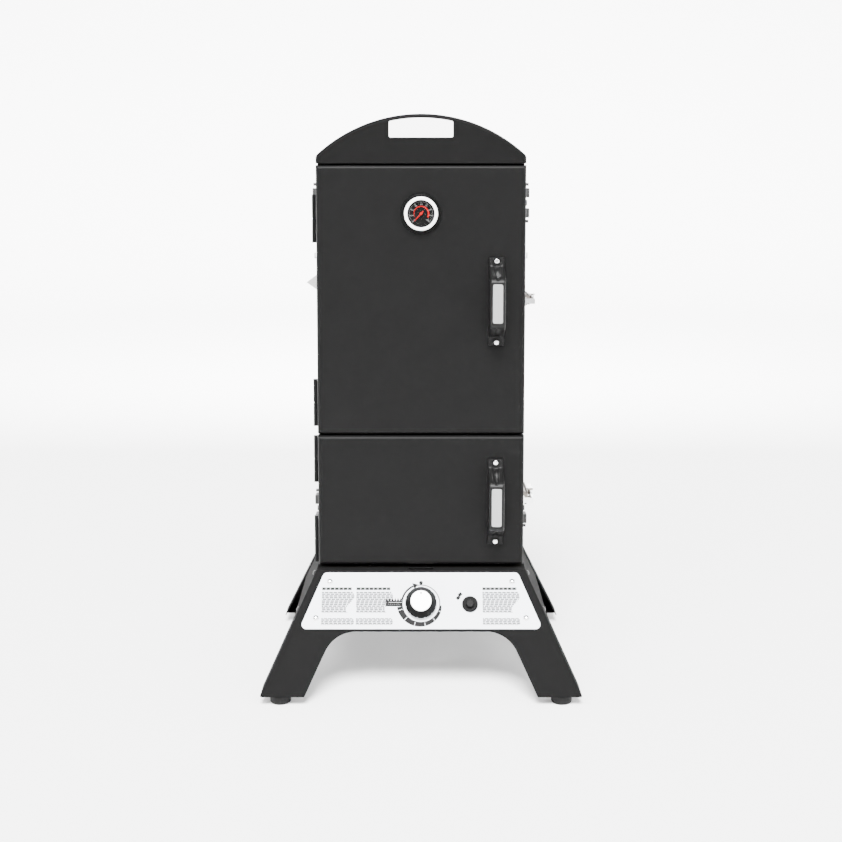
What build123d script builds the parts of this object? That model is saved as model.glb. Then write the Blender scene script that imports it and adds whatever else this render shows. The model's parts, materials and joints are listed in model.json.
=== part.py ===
"""A free-standing cabinet smoker fired by gas: a double-walled steel cabinet with two doors,
standing on a splayed sheet-metal base that carries the burner controls.

Millimetres. +Z is up, +X is to the right and -Y is towards a person who faces the doors.
The origin is on the floor at the middle of the legs' footprint.
"""

import os
from math import cos, hypot, radians, sin

from build123d import *

# ---------------------------------------------------------------- driving dimensions

SHEET = 2.0  # leg panels
SKIN = 1.2  # cabinet walls
PAN = 1.5  # door pans, roof cap and control plate
FIT = 0.05  # radial clearance of a pin that turns in its bore

# base: four sloping faces between the floor end of the legs and the top flanges
LEG_BOTTOM = 20.0
BASE_TOP = 253.8
BASE_TOP_HALF_X = 226.0
BASE_TOP_FRONT = -171.5
BASE_TOP_REAR = 207.0
LEG_HALF_X = 337.3
LEG_FRONT = -304.5
LEG_REAR = 304.5
BEND = 8.0
LEG_FLANGE = 63.5
TOP_FLANGE = (-98.0, 138.0)
ARCH_RADIUS = 70.0

# cabinet
BODY_HALF = 221.0
BODY_FRONT = -122.0
BODY_REAR = 200.0
CABINET_TOP = 1128.1
LINER_HALF = 205.0
LINER_REAR = 184.0
LINER_TOP = 1109.0
OPENING_HALF = 204.0
UPPER_OPENING = (570.0, 1108.0)
LOWER_OPENING = (285.0, 528.0)

# roof
CROWN = 1231.5
CROWN_RADIUS = 327.0

# doors
DOOR_HALF = 222.5
DOOR_FRONT = -158.0
DOOR_BACK = -124.0
DOOR_ROUND = 8.0
UPPER_DOOR = (550.4, 1124.4)
LOWER_DOOR = (261.8, 545.8)
HINGE_X = -228.5
HINGE_Y = BODY_FRONT
UPPER_HINGES = (1011.2, 613.4)
LOWER_HINGES = (489.4, 311.4)
HANDLE_X = 160.3
UPPER_HANDLE_Z = 836.4
LOWER_HANDLE_Z = 403.3
BOLT_SPAN = 173.0
THERMOMETER_Z = 1022.6

# side hardware
UPPER_LATCH_Z = 836.0
LOWER_LATCH_Z = 402.0
SIDE_HARDWARE_Y = 42.0
DAMPERS = {
    "damper_upper_left": (-1, 1043.0),
    "damper_upper_right": (1, 1043.0),
    "damper_lower_left": (-1, 340.0),
    "damper_lower_right": (1, 340.0),
}
OPENER_Y = -70.0
DAMPER_BOLT = 3.0

# controls, as places on the front leg panel
KNOB_Z = 190.8
IGNITER_X = 104.9
IGNITER_Z = 189.0
PLATE_SCREW_SHANK = 2.5
IGNITER_HOLE = 11.2
IGNITER_BUTTON = 9.0
KNOB_GAP = 5.0
KNOB_TOP = 28.0
STEM = 4.0
PLUG = 9.0

# inside
GRID_LEVELS = (660.0, 770.0, 880.0, 990.0)
BOWL_LEVEL = 500.0
CHIP_LEVEL = 400.0

# feet
FOOT_X = 295.9
FOOT_Y = 277.5
FEET = {
    "foot_front_left": (-FOOT_X, -FOOT_Y),
    "foot_front_right": (FOOT_X, -FOOT_Y),
    "foot_rear_left": (-FOOT_X, FOOT_Y),
    "foot_rear_right": (FOOT_X, FOOT_Y),
}

# gas line and burner
GAS_LINE_Z = 166.0
INLET_Y = -186.0
VENTURI_MOUTH = -136.0
BURNER_XY = (0.0, 10.0)
BURNER_TUBE = 12.0
ELECTRODE_XY = (62.0, -40.0)
ELECTRODE_CERAMIC = 3.5

# handles: how far they stand out of the door, and their inlay's recess
HANDLE_WIDE = 32.6
GRIP_OUT = 65.0
FOOT_OUT = 9.0
INLAY_DEEP = 1.4

# hinges
KNUCKLE = 5.0
KNUCKLE_LONG = 50.1
PIN = 3.0
WASHER_GAP = 2.5

# thermometer radii
PROBE = 4.0
GAUGE_LIP = 29.0
GAUGE_CASE = 35.8
GAUGE_BEZEL = 42.0

# tool hooks and bottle opener
HOOK_Z = 924.7
HOOK_SHEET = 1.6
OPENER_SHEET = 1.5
OPENER_SCREWS = (903.2, 845.5)

# latches: pivots as (distance from the cabinet's wall, Y), cheeks as (inner, outer) heights
LEVER_PIVOT = (22.0, -78.0)
CLAW_PIVOT = (21.2, -66.0)
LEVER_PIN = 2.5
CLAW_PIN = 2.0
CHEEK = (6.8, 8.3)
CLAW_HALF = 5.5

# ---------------------------------------------------------------- worked out from them

BASE_RISE = BASE_TOP - LEG_BOTTOM
SIDE_SLOPE = (LEG_HALF_X - BASE_TOP_HALF_X) / BASE_RISE
FRONT_SLOPE = (BASE_TOP_FRONT - LEG_FRONT) / BASE_RISE
REAR_SLOPE = (LEG_REAR - BASE_TOP_REAR) / BASE_RISE
FRONT_STRETCH = hypot(1, FRONT_SLOPE)
REAR_STRETCH = hypot(1, REAR_SLOPE)
SIDE_STRETCH = hypot(1, SIDE_SLOPE)

# planes that lie on the base's faces: local Y runs up the slope and local Z points outwards
FRONT_FACE = Plane(origin=(0, LEG_FRONT, LEG_BOTTOM), x_dir=(1, 0, 0), z_dir=(0, -1, FRONT_SLOPE))
REAR_FACE = Plane(origin=(0, LEG_REAR, LEG_BOTTOM), x_dir=(-1, 0, 0), z_dir=(0, 1, REAR_SLOPE))

FRAME_BACK = BODY_FRONT + PAN
BOLT_HALF = BOLT_SPAN / 2


# ---------------------------------------------------------------- small helpers


def block(xs, ys, zs):
    """A box between two limits along each axis."""
    middle = Pos(sum(xs) / 2, sum(ys) / 2, sum(zs) / 2)
    return middle * Box(abs(xs[1] - xs[0]), abs(ys[1] - ys[0]), abs(zs[1] - zs[0]))


def disc(radius, low, high):
    """A cylinder about the local Z axis, from low to high."""
    return Pos(0, 0, (low + high) / 2) * Cylinder(radius, high - low)


def rod(start, end, radius):
    """A round bar between two points."""
    run = Vector(*end) - Vector(*start)
    return Plane(origin=start, z_dir=run).location * disc(radius, 0, run.length)


def prism(points, plane, low, high):
    """An outline drawn on a plane, made solid from low to high along its normal."""
    face = make_face(Polyline(*points, close=True))
    return plane.location * Pos(0, 0, low) * extrude(face, high - low)


def group(*solids):
    """Separate solids kept apart in one node."""
    return Compound(children=[solid for part in solids for solid in part.solids()])


def up_slope(z, stretch):
    """The distance up a sloping face from the legs' bottom to a height."""
    return (z - LEG_BOTTOM) * stretch


def on_front(x, z):
    """A place on the front leg panel, looking outwards along its normal."""
    return FRONT_FACE.location * Pos(x, up_slope(z, FRONT_STRETCH), 0)


def side_place(side, y, z):
    """A place on the cabinet's side wall: local Z points outwards and local Y up."""
    return Plane(origin=(side * BODY_HALF, y, z), x_dir=(0, side, 0), z_dir=(side, 0, 0)).location


# ---------------------------------------------------------------- base


def frustum(inset, low, high, radius):
    """The solid inside the base's sloping faces, each moved inwards by inset."""
    ends = []
    for z in (low, high):
        drop = BASE_TOP - z
        half = BASE_TOP_HALF_X + drop * SIDE_SLOPE - inset * SIDE_STRETCH
        front = BASE_TOP_FRONT - drop * FRONT_SLOPE + inset * FRONT_STRETCH
        rear = BASE_TOP_REAR + drop * REAR_SLOPE - inset * REAR_STRETCH
        ends.append(Pos(0, (front + rear) / 2, z) * Rectangle(2 * half, rear - front))
    solid = loft(ends, ruled=True)
    sloping = [e for e in solid.edges() if abs((e @ 0).Z - (e @ 1).Z) > 1]
    return fillet(sloping, radius)


def base_skin(outer, inner, low):
    """A hollow skin that follows the base's sloping faces down to a height."""
    reach = 30.0
    return frustum(outer, low, BASE_TOP, BEND - outer) - frustum(
        inner, low - reach, BASE_TOP + reach, BEND - inner
    )


def arch(face):
    """The arched gap between two legs, drawn on a sloping face."""
    spring_half = 244.2
    lean = 0.437
    crown = 136.6
    below = 40.0
    crown_half = spring_half - lean * crown
    low_half = spring_half + lean * below
    corners = [(-low_half, -below), (-crown_half, crown), (crown_half, crown), (low_half, -below)]
    outline = Polyline(corners, close=True)
    sketch = make_face(outline)
    sketch = fillet(sketch.vertices().group_by(Axis.Y)[-1], ARCH_RADIUS)
    depth = 60.0
    return face.location * Pos(0, 0, -depth) * extrude(sketch, 2 * depth)


def leg_tabs(sign):
    """Tabs folded in at the bottom of two legs, each with a hole for a foot's stud."""
    low = LEG_BOTTOM + 3.0
    tab_inner_x = 252.0
    tab_inner_y = 244.0
    hole = 4.3
    inside = frustum(SHEET - 0.5, LEG_BOTTOM - 10, BASE_TOP, BEND - SHEET)
    tabs = []
    for side in (-1, 1):
        xs = (side * tab_inner_x, side * LEG_HALF_X)
        ys = (sign * tab_inner_y, sign * LEG_REAR)
        corner = block(xs, ys, (low, low + SHEET))
        stud_hole = Pos(side * FOOT_X, sign * FOOT_Y, low) * disc(hole, -SHEET, 2 * SHEET)
        tabs.append((inside & corner) - stud_hole)
    return tabs


def side_screws():
    """Places of the screws that join the side panels to the legs' flanges."""
    places = []
    screw_inset = 50.0
    for z in (165.0, 235.0):
        drop = BASE_TOP - z
        x = BASE_TOP_HALF_X + drop * SIDE_SLOPE
        front = BASE_TOP_FRONT - drop * FRONT_SLOPE + screw_inset * FRONT_STRETCH
        rear = BASE_TOP_REAR + drop * REAR_SLOPE - screw_inset * REAR_STRETCH
        for side in (-1, 1):
            for y in (front, rear):
                places.append(Plane(origin=(side * x, y, z), z_dir=(side, 0, SIDE_SLOPE)).location)
    return places


def leg_panel(face, top_edge, inner_edge, sign):
    """One folded leg panel: sloping face, two side flanges, top flange and foot tabs."""
    reach = 2000.0
    screw_hole = 2.7
    slab = face.location * Pos(0, 0, -LEG_FLANGE / 2 + 5) * Box(reach, reach, LEG_FLANGE + 10)
    panel = base_skin(0, SHEET, LEG_BOTTOM) & slab
    panel -= arch(face)
    strip = block((-reach, reach), (top_edge, inner_edge), (BASE_TOP - SHEET, BASE_TOP))
    panel += frustum(SHEET - 0.5, LEG_BOTTOM, BASE_TOP, BEND - SHEET) & strip
    for tab in leg_tabs(sign):
        panel += tab
    for place in side_screws():
        panel -= place * disc(screw_hole, -10, 10)
    return panel


def front_leg_panel():
    """The front leg panel: a notch in its top flange, whose rear edge is turned down, and the
    holes for the controls."""
    notch_half = 27.0
    notch_ys = (BASE_TOP_FRONT + 4, BASE_TOP_FRONT + 20)
    notch = block((-notch_half, notch_half), notch_ys, (BASE_TOP - 3, BASE_TOP + 3))
    panel = leg_panel(FRONT_FACE, BASE_TOP_FRONT + 1.2, TOP_FLANGE[0], -1) - notch
    turned_half, turned_deep = 196.0, 28.0
    turned_ys = (TOP_FLANGE[0] - SHEET, TOP_FLANGE[0])
    panel += block((-turned_half, turned_half), turned_ys, (BASE_TOP - turned_deep, BASE_TOP))
    stem_hole = 11.0
    panel -= on_front(0, KNOB_Z) * disc(stem_hole, -10, 10)
    panel -= on_front(IGNITER_X, IGNITER_Z) * disc(IGNITER_HOLE, -10, 10)
    for place in plate_screw_places():
        panel -= place * disc(PLATE_SCREW_SHANK + 0.1, -10, 10)
    return panel


def rear_leg_panel():
    return leg_panel(REAR_FACE, BASE_TOP_REAR - 1.2, TOP_FLANGE[1], 1)


def base_side_panels():
    """The two flat side panels, lapped behind the legs' flanges."""
    low = 140.0
    lap = 25.0
    thickness = 1.5
    wide = 2000.0
    screw_hole = 2.7
    ring = base_skin(SHEET, SHEET + thickness, low)
    for face in (FRONT_FACE, REAR_FACE):
        depth = LEG_FLANGE - lap
        ring -= face.location * Pos(0, 0, -depth / 2 + 5) * Box(wide, wide, depth + 10)
    gap = 0.4
    flange_ys = (TOP_FLANGE[0] + gap, TOP_FLANGE[1] - gap)
    inner_x = BODY_HALF - 20.0
    head_room = block((-wide, wide), (-wide, wide), (BASE_TOP - SHEET - gap, BASE_TOP + 5))
    ring -= head_room - block((-wide, wide), flange_ys, (low, BASE_TOP + 10))
    for side in (-1, 1):
        strip = block((side * inner_x, side * LEG_HALF_X), flange_ys, (BASE_TOP - thickness, BASE_TOP))
        ring += frustum(SHEET + 0.5, LEG_BOTTOM, BASE_TOP, BEND - SHEET) & strip
    for place in side_screws():
        ring -= place * disc(screw_hole, -10, 10)
    return group(ring)


def plate_screw_places():
    """Places of the four screws near the control plate's corners."""
    return [on_front(side * x, z) for x, z in ((196.8, 231.5), (224.9, 163.4)) for side in (-1, 1)]


def control_plate():
    """The bright fascia on the front leg panel, with holes for the stem and the igniter."""
    top_half, top = 209.3, up_slope(248.7, FRONT_STRETCH)
    low_half, low = 259.1, up_slope(143.1, FRONT_STRETCH)
    corner = 10.0
    stem_hole = 8.0
    corners = [(-low_half, low), (low_half, low), (top_half, top), (-top_half, top)]
    face = make_face(Polyline(corners, close=True))
    plate = FRONT_FACE.location * extrude(fillet(face.vertices(), corner), PAN)
    plate -= on_front(0, KNOB_Z) * disc(stem_hole, -1, 10)
    plate -= on_front(IGNITER_X, IGNITER_Z) * disc(IGNITER_HOLE, -1, 10)
    for place in plate_screw_places():
        plate -= place * disc(PLATE_SCREW_SHANK + 0.1, -1, 10)
    return plate


def domed_screw(head_radius, head_height, shank_radius, shank):
    """A round-headed screw on local Z: its head stands on z = 0 and its shank goes down."""
    ball = (head_radius**2 + head_height**2) / (2 * head_height)
    dome = Pos(0, 0, head_height - ball) * Sphere(ball) & disc(2 * head_radius, 0, 2 * head_height)
    return dome + disc(shank_radius, -shank, 0.5)


def plate_screws():
    screw = domed_screw(6.65, 3.2, PLATE_SCREW_SHANK, 9.0)
    return group(*[place * Pos(0, 0, PAN) * screw for place in plate_screw_places()])


def foot(x, y):
    """A levelling foot: a round pad with a stud that screws up through a leg's tab."""
    pad_radius, pad_height = 22.0, 19.0
    round_low, round_high = 5.0, 2.5
    stud_radius, stud_top = 4.0, 46.0
    collar_radius, collar_top = 8.0, 21.5
    pad = disc(pad_radius, 0, pad_height)
    pad = fillet(pad.edges().sort_by(Axis.Z)[0], round_low)
    pad = fillet(pad.edges().sort_by(Axis.Z)[-1], round_high)
    pad += disc(collar_radius, pad_height - 1, collar_top)
    pad += disc(stud_radius, pad_height - 1, stud_top)
    return Pos(x, y, 0) * pad


# ---------------------------------------------------------------- cabinet


def vent_slots():
    """Two curved slots about the local Z axis, one above the centre and one below."""
    mean_radius, width, sweep = 27.0, 13.0, 56.0
    slots = []
    for middle in (90.0, 270.0):
        arc = CenterArc((0, 0), mean_radius, middle - sweep / 2, sweep)
        slots.append(SlotArc(arc, width))
    return slots


def vents():
    """Cutters for the air vents that the four dampers cover, through both walls."""
    depth = 25.0
    bolt_hole = 3.2
    cutters = []
    for side, z in DAMPERS.values():
        place = side_place(side, SIDE_HARDWARE_Y, z)
        for slot in vent_slots():
            cutters.append(place * Pos(0, 0, -depth) * extrude(slot, depth + 5))
        cutters.append(place * disc(bolt_hole, -5, 5))
    return cutters


def outer_shell():
    """The cabinet's outer skin: two sides and the back, folded from one sheet."""
    corner = 6.0
    zs = (BASE_TOP, CABINET_TOP)
    outside = block((-BODY_HALF, BODY_HALF), (FRAME_BACK, BODY_REAR), zs)
    outside = fillet(outside.edges().filter_by(Axis.Z).group_by(Axis.Y)[-1], corner)
    half = BODY_HALF - SKIN
    inside = block((-half, half), (FRAME_BACK - 1, BODY_REAR - SKIN), (zs[0] - 1, zs[1] + 1))
    inside = fillet(inside.edges().filter_by(Axis.Z).group_by(Axis.Y)[-1], corner - SKIN)
    shell = outside - inside
    for cutter in vents():
        shell -= cutter
    for place, shank in wall_screw_places():
        shell -= place * disc(shank + 0.1, -5, 5)
    return shell


def face_frame():
    """The front frame that both doors close against, with a rail between the openings."""
    frame = block((-BODY_HALF, BODY_HALF), (BODY_FRONT, FRAME_BACK), (BASE_TOP, CABINET_TOP))
    for zs in (UPPER_OPENING, LOWER_OPENING):
        frame -= block((-OPENING_HALF, OPENING_HALF), (BODY_FRONT - 5, FRAME_BACK + 5), zs)
    return frame


def floor_pan():
    """The cabinet's floor, with holes for the burner's tube and the igniter's lead."""
    half = BODY_HALF - SKIN
    corner = 6.0
    pan = block((-half, half), (FRAME_BACK, BODY_REAR - SKIN), (BASE_TOP, BASE_TOP + PAN))
    pan = fillet(pan.edges().filter_by(Axis.Z).group_by(Axis.Y)[-1], corner - SKIN)
    pan -= Pos(*BURNER_XY, BASE_TOP) * disc(BURNER_TUBE + 1.5, -5, 5)
    pan -= Pos(*ELECTRODE_XY, BASE_TOP) * disc(ELECTRODE_CERAMIC + 0.4, -5, 5)
    drain, drain_spacing = 6.0, 120.0
    for x in (-drain_spacing, drain_spacing):
        pan -= Pos(x, drain_spacing, BASE_TOP) * disc(drain, -5, 5)
    return pan


def inner_liner():
    """The inner walls, back and ceiling of the cooking chamber."""
    low = BASE_TOP + PAN
    thick = 1.0
    outside = block((-LINER_HALF, LINER_HALF), (FRAME_BACK, LINER_REAR), (low, LINER_TOP + thick))
    half = LINER_HALF - thick
    liner = outside - block((-half, half), (FRAME_BACK - 1, LINER_REAR - thick), (low - 1, LINER_TOP))
    for cutter in vents():
        liner -= cutter
    return liner


def roof_outline(inset, low):
    """The roof's arched outline seen from the front, moved inwards by inset."""
    half = DOOR_HALF - inset
    radius = CROWN_RADIUS - inset
    centre = CROWN - CROWN_RADIUS
    spring = centre + (radius**2 - half**2) ** 0.5
    shoulder = 12.0 - inset
    arc = ThreePointArc((-half, spring), (0, centre + radius), (half, spring))
    sides = Polyline((half, spring), (half, low), (-half, low), (-half, spring))
    face = make_face([arc, sides])
    shoulders = [v for v in face.vertices() if v.Y > spring - 1]
    return fillet(shoulders, shoulder)


def roof_cap():
    """The arched roof: a hollow cap that overhangs both doors and sits on the cabinet."""
    rear = BODY_REAR + 2.0
    front_plane = Plane(origin=(0, rear, 0), x_dir=(1, 0, 0), z_dir=(0, -1, 0)).location
    depth = rear - DOOR_FRONT
    cap = front_plane * extrude(roof_outline(0, CABINET_TOP), depth)
    front_edges = [e for e in cap.faces().sort_by(Axis.Y)[0].edges() if e.center().Z > CABINET_TOP + 1]
    rounding = 7.0
    cap = fillet(front_edges, rounding)
    hollow = front_plane * Pos(0, 0, PAN) * extrude(roof_outline(PAN, CABINET_TOP - 5), depth - 2 * PAN)
    hollow_front = [e for e in hollow.faces().sort_by(Axis.Y)[0].edges() if e.center().Z > CABINET_TOP - 4]
    cap -= fillet(hollow_front, rounding - PAN)
    soffit_half = DOOR_HALF - PAN
    soffit_zs = (CABINET_TOP, CABINET_TOP + PAN)
    soffit = block((-soffit_half, soffit_half), (DOOR_FRONT + PAN, BODY_FRONT + 6), soffit_zs)
    ledges = [
        block((side * (BODY_HALF - 12), side * soffit_half), (BODY_FRONT + 6, rear - PAN), soffit_zs)
        for side in (-1, 1)
    ]
    return cap + soffit + ledges[0] + ledges[1]


def badge_plate():
    """A blank name plate whose top edge follows the roof's arch."""
    half, low, top, thick = 67.5, 1182.0, 1222.6, 1.6
    radius = top - (CROWN - CROWN_RADIUS)
    shoulder = (radius**2 - half**2) ** 0.5 + CROWN - CROWN_RADIUS
    corner = 4.0
    arc = ThreePointArc((-half, shoulder), (0, top), (half, shoulder))
    sides = Polyline((half, shoulder), (half, low), (-half, low), (-half, shoulder))
    face = make_face([arc, sides])
    face = fillet(face.vertices(), corner)
    return Plane(origin=(0, DOOR_FRONT, 0), x_dir=(1, 0, 0), z_dir=(0, -1, 0)).location * extrude(face, thick)


def door_gaskets():
    """A soft rope seal round each opening, pressed by the doors' inner panels."""
    inner, outer = OPENING_HALF + 1.0, OPENING_HALF + 11.0
    reach = (BODY_FRONT - 9.6, BODY_FRONT)
    seals = []
    for low, high in (UPPER_OPENING, LOWER_OPENING):
        seal = block((-outer, outer), reach, (low - 11, high + 11))
        seal -= block((-inner, inner), (reach[0] - 1, reach[1] + 1), (low - 1, high + 1))
        seals.append(seal)
    return group(*seals)


def rack_rails():
    """Angle rails on both walls: one pair for each grid, one for the bowl, one for the chip box."""
    shelf, thick, lip = 12.0, 1.6, 12.0
    wall = LINER_HALF - 1.0
    ys = (-112.0, 172.0)
    rails = []
    for top in (*GRID_LEVELS, BOWL_LEVEL, CHIP_LEVEL):
        for side in (-1, 1):
            rail = block((side * (wall - shelf), side * wall), ys, (top - thick, top))
            rail += block((side * (wall - thick), side * wall), ys, (top - lip, top))
            rails.append(rail)
    return group(*rails)


def cooking_grid():
    """One wire grid, drawn with its underside at z = 0."""
    half_x, front, rear = 200.0, -108.0, 168.0
    border, wire = 3.0, 2.0
    bars = 19
    z = border
    corners = [(-half_x, front, z), (half_x, front, z), (half_x, rear, z), (-half_x, rear, z)]
    grid = rod(corners[0], corners[1], border)
    for n in (1, 2, 3):
        grid += rod(corners[n], corners[(n + 1) % 4], border)
    for x, y, _ in corners:
        grid += Pos(x, y, z) * Sphere(border)
    spacing = 2 * half_x / (bars + 1)
    for n in range(1, bars + 1):
        x = -half_x + n * spacing
        grid += rod((x, front, z + wire / 2), (x, rear, z + wire / 2), wire)
    middle = (front + rear) / 2
    return grid + rod((-half_x, middle, z), (half_x, middle, z), wire)


def cooking_grids():
    grid = cooking_grid()
    return group(*[Pos(0, 0, level) * grid for level in GRID_LEVELS])


def hanging_pan(half_x, ys, depth, level, rim_half):
    """An open pressed pan whose side rims rest on a pair of rails."""
    thick, corner = 1.0, 18.0
    zs = (level - depth, level + thick)
    outside = block((-half_x, half_x), ys, zs)
    outside = fillet(outside.edges().filter_by(Axis.Z), corner)
    inner_ys = (ys[0] + thick, ys[1] - thick)
    inside = block((thick - half_x, half_x - thick), inner_ys, (zs[0] + thick, zs[1] + 1))
    inside = fillet(inside.edges().filter_by(Axis.Z), corner - thick)
    rim = block((-rim_half, rim_half), (ys[0] - 6, ys[1] + 6), (level, level + thick))
    return (outside + rim) - inside


def water_bowl():
    return hanging_pan(184.0, (-100.0, 150.0), 70.0, BOWL_LEVEL, 202.0)


def chip_box():
    return hanging_pan(130.0, (-95.0, 105.0), 55.0, CHIP_LEVEL, 202.0)


# ---------------------------------------------------------------- gas train and igniter


def burner():
    """A round burner on its venturi tube, which comes up through the floor pan."""
    head, head_low, head_high = 72.0, 288.0, 302.0
    port, ports, port_ring = 2.5, 24, 60.0
    bore, bore_depth = 9.5, 30.0
    x, y = BURNER_XY
    tube = rod((x, VENTURI_MOUTH, GAS_LINE_Z), (x, y, GAS_LINE_Z), BURNER_TUBE)
    tube += Pos(x, y, GAS_LINE_Z) * Sphere(BURNER_TUBE)
    tube += rod((x, y, GAS_LINE_Z), (x, y, head_low + 1), BURNER_TUBE)
    crown = Pos(x, y, 0) * disc(head, head_low, head_high)
    crown = fillet(crown.edges(), 3.0)
    for n in range(ports):
        angle = radians(360 / ports * n)
        port_place = Pos(x + port_ring * cos(angle), y + port_ring * sin(angle), 0)
        hole = port_place * disc(port, head_high - 5, head_high + 5)
        crown -= hole
    collar = Pos(x, y, 0) * disc(BURNER_TUBE + 12, BASE_TOP + PAN, BASE_TOP + PAN + 2)
    tube -= rod((x, VENTURI_MOUTH - 5, GAS_LINE_Z), (x, VENTURI_MOUTH + bore_depth, GAS_LINE_Z), bore)
    return tube + crown + collar


def gas_valve():
    """The valve body behind the panel: plug bore, outlet spud and a threaded inlet pointing down."""
    half, depth = 17.0, 40.0
    inlet, inlet_low = 7.94, 134.0
    shoulder, shoulder_low, shoulder_high = 11.0, 150.0, 156.0
    spud = 5.0
    back = -SHEET
    body = on_front(0, KNOB_Z) * block((-half, half), (-half, half), (back - depth, back))
    body = fillet(body.edges(), 2.0)
    body += rod((0, INLET_Y, GAS_LINE_Z), (0, INLET_Y, inlet_low), inlet)
    body += rod((0, INLET_Y, shoulder_high), (0, INLET_Y, shoulder_low), shoulder)
    body += rod((0, INLET_Y + 8, GAS_LINE_Z), (0, VENTURI_MOUTH + 8, GAS_LINE_Z), spud)
    body -= on_front(0, KNOB_Z) * disc(PLUG + FIT, back - depth + 6, 5)
    return body


def valve_plug():
    """The plug that turns inside the valve; the stem slides through it."""
    back, front = -SHEET - 33.0, -0.5
    plug = disc(PLUG, back, front) - disc(STEM + FIT, back - 1, front + 1)
    return on_front(0, KNOB_Z) * plug


def valve_stem():
    """The stem that the knob is pressed on; it slides in the plug when the knob is pushed."""
    return on_front(0, KNOB_Z) * disc(STEM, -SHEET - 27.0, 22.0)


def control_knob():
    """The round knob: a skirt at the plate that tapers to the face, hollow behind."""
    skirt, face, wall = 33.5, 23.5, 3.0
    low = PAN + KNOB_GAP
    high = KNOB_TOP - 1.2
    rim = 5.0
    knob = disc(skirt, low, low + rim)
    knob += Pos(0, 0, (low + rim + high) / 2) * Cone(skirt, face, high - low - rim)
    hollow = disc(skirt - wall, low - 1, low + rim)
    hollow_middle = (low + rim + high - wall) / 2
    hollow += Pos(0, 0, hollow_middle) * Cone(skirt - wall, face - wall, high - wall - low - rim)
    boss = disc(8.0, low + 1, high - 1)
    knob = (knob - hollow) + boss
    ribs, groove, ring = 12, 2.2, skirt + 0.9
    for n in range(ribs):
        angle = radians(360 / ribs * (n + 0.5))
        knob -= Pos(ring * cos(angle), ring * sin(angle), 0) * disc(groove, low - 1, low + rim + 8)
    knob -= disc(22.2, high - 1.2, high + 1)
    knob -= disc(STEM + 0.01, low - 5, 22.0)
    return on_front(0, KNOB_Z) * knob


def knob_cap():
    """The bright disc pressed into the knob's face, with a pointer dimple at its top."""
    low = KNOB_TOP - 2.4
    cap = disc(22.1, low, KNOB_TOP)
    cap = fillet(cap.edges().sort_by(Axis.Z)[-1], 0.8)
    pointer_radius, pointer_at = 2.0, 16.5
    cap -= Pos(0, pointer_at, 0) * disc(pointer_radius, KNOB_TOP - 0.6, KNOB_TOP + 1)
    return on_front(0, KNOB_Z) * cap


def igniter_body():
    """The push igniter: a collar on the plate and a barrel behind the panel."""
    collar, collar_high = 17.2, 6.0
    barrel, back = 11.0, -44.0
    body = disc(collar, PAN, collar_high)
    body = fillet(body.edges().sort_by(Axis.Z)[-1], 2.0)
    body += disc(barrel, back, PAN + 1)
    nut = 15.0
    body += disc(nut, -SHEET - 5, -SHEET)
    bore_low = -9.0
    body -= disc(IGNITER_BUTTON + FIT, bore_low, collar_high + 1)
    return on_front(IGNITER_X, IGNITER_Z) * body


def igniter_button():
    """The button, which slides in the igniter's collar."""
    low, high = -2.0, 12.0
    button = disc(IGNITER_BUTTON, low, high)
    button = fillet(button.edges().sort_by(Axis.Z)[-1], 2.0)
    return on_front(IGNITER_X, IGNITER_Z) * button


def igniter_electrode():
    """The ceramic electrode beside the burner, and the lead that joins it to the igniter."""
    x, y = ELECTRODE_XY
    base, ceramic_high = BASE_TOP - 12.0, 292.0
    spark, spark_high = 1.0, 310.0
    electrode = Pos(x, y, 0) * disc(ELECTRODE_CERAMIC, base, ceramic_high)
    electrode += Pos(x, y, 0) * disc(ELECTRODE_CERAMIC + 5, BASE_TOP + PAN, BASE_TOP + PAN + 3)
    electrode += Pos(x, y, 0) * disc(spark, ceramic_high - 1, spark_high - 4)
    electrode += rod((x, y, spark_high - 4), (x - 6, y + 3, spark_high - 1), spark)
    start = (on_front(IGNITER_X, IGNITER_Z) * Pos(0, 0, -44.0)).position
    leave = (on_front(IGNITER_X, IGNITER_Z) * Pos(0, 0, -74.0)).position
    route = [
        start,
        leave,
        (98.0, -100.0, 158.0),
        (78.0, -62.0, 172.0),
        (x, y, 202.0),
        (x, y, base + 1),
    ]
    bends = [24.0, 30.0, 24.0, 14.0]
    lead_radius = 1.6
    path = FilletPolyline(*route, radius=bends)
    lead = sweep(Plane(origin=path @ 0, z_dir=path % 0) * Circle(lead_radius), path)
    return electrode + lead


# ---------------------------------------------------------------- doors


def door_pan(zs, extra_holes=()):
    """A door's outer pan: a folded tray with rounded front edges, open at the back."""
    outside = block((-DOOR_HALF, DOOR_HALF), (DOOR_FRONT, DOOR_BACK), zs)
    outside = fillet(outside.faces().sort_by(Axis.Y)[0].edges(), DOOR_ROUND)
    half = DOOR_HALF - PAN
    inside = block((-half, half), (DOOR_FRONT + PAN, DOOR_BACK + 20), (zs[0] + PAN, zs[1] - PAN))
    inside = fillet(inside.faces().sort_by(Axis.Y)[0].edges(), DOOR_ROUND - PAN)
    pan = outside - inside
    for hole in extra_holes:
        pan -= hole
    return pan


def door_liner(zs, extra_holes=()):
    """A door's inner panel: a tray set into the back of the pan, which presses on the seal."""
    half = DOOR_HALF - PAN
    low, high = zs[0] + PAN, zs[1] - PAN
    front, back = DOOR_FRONT + 10.0, DOOR_BACK - 8.0
    tray = block((-half, half), (front, back), (low, high))
    tray -= block((SKIN - half, half - SKIN), (front - 1, back - SKIN), (low + SKIN, high - SKIN))
    for hole in extra_holes:
        tray -= hole
    return tray


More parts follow.
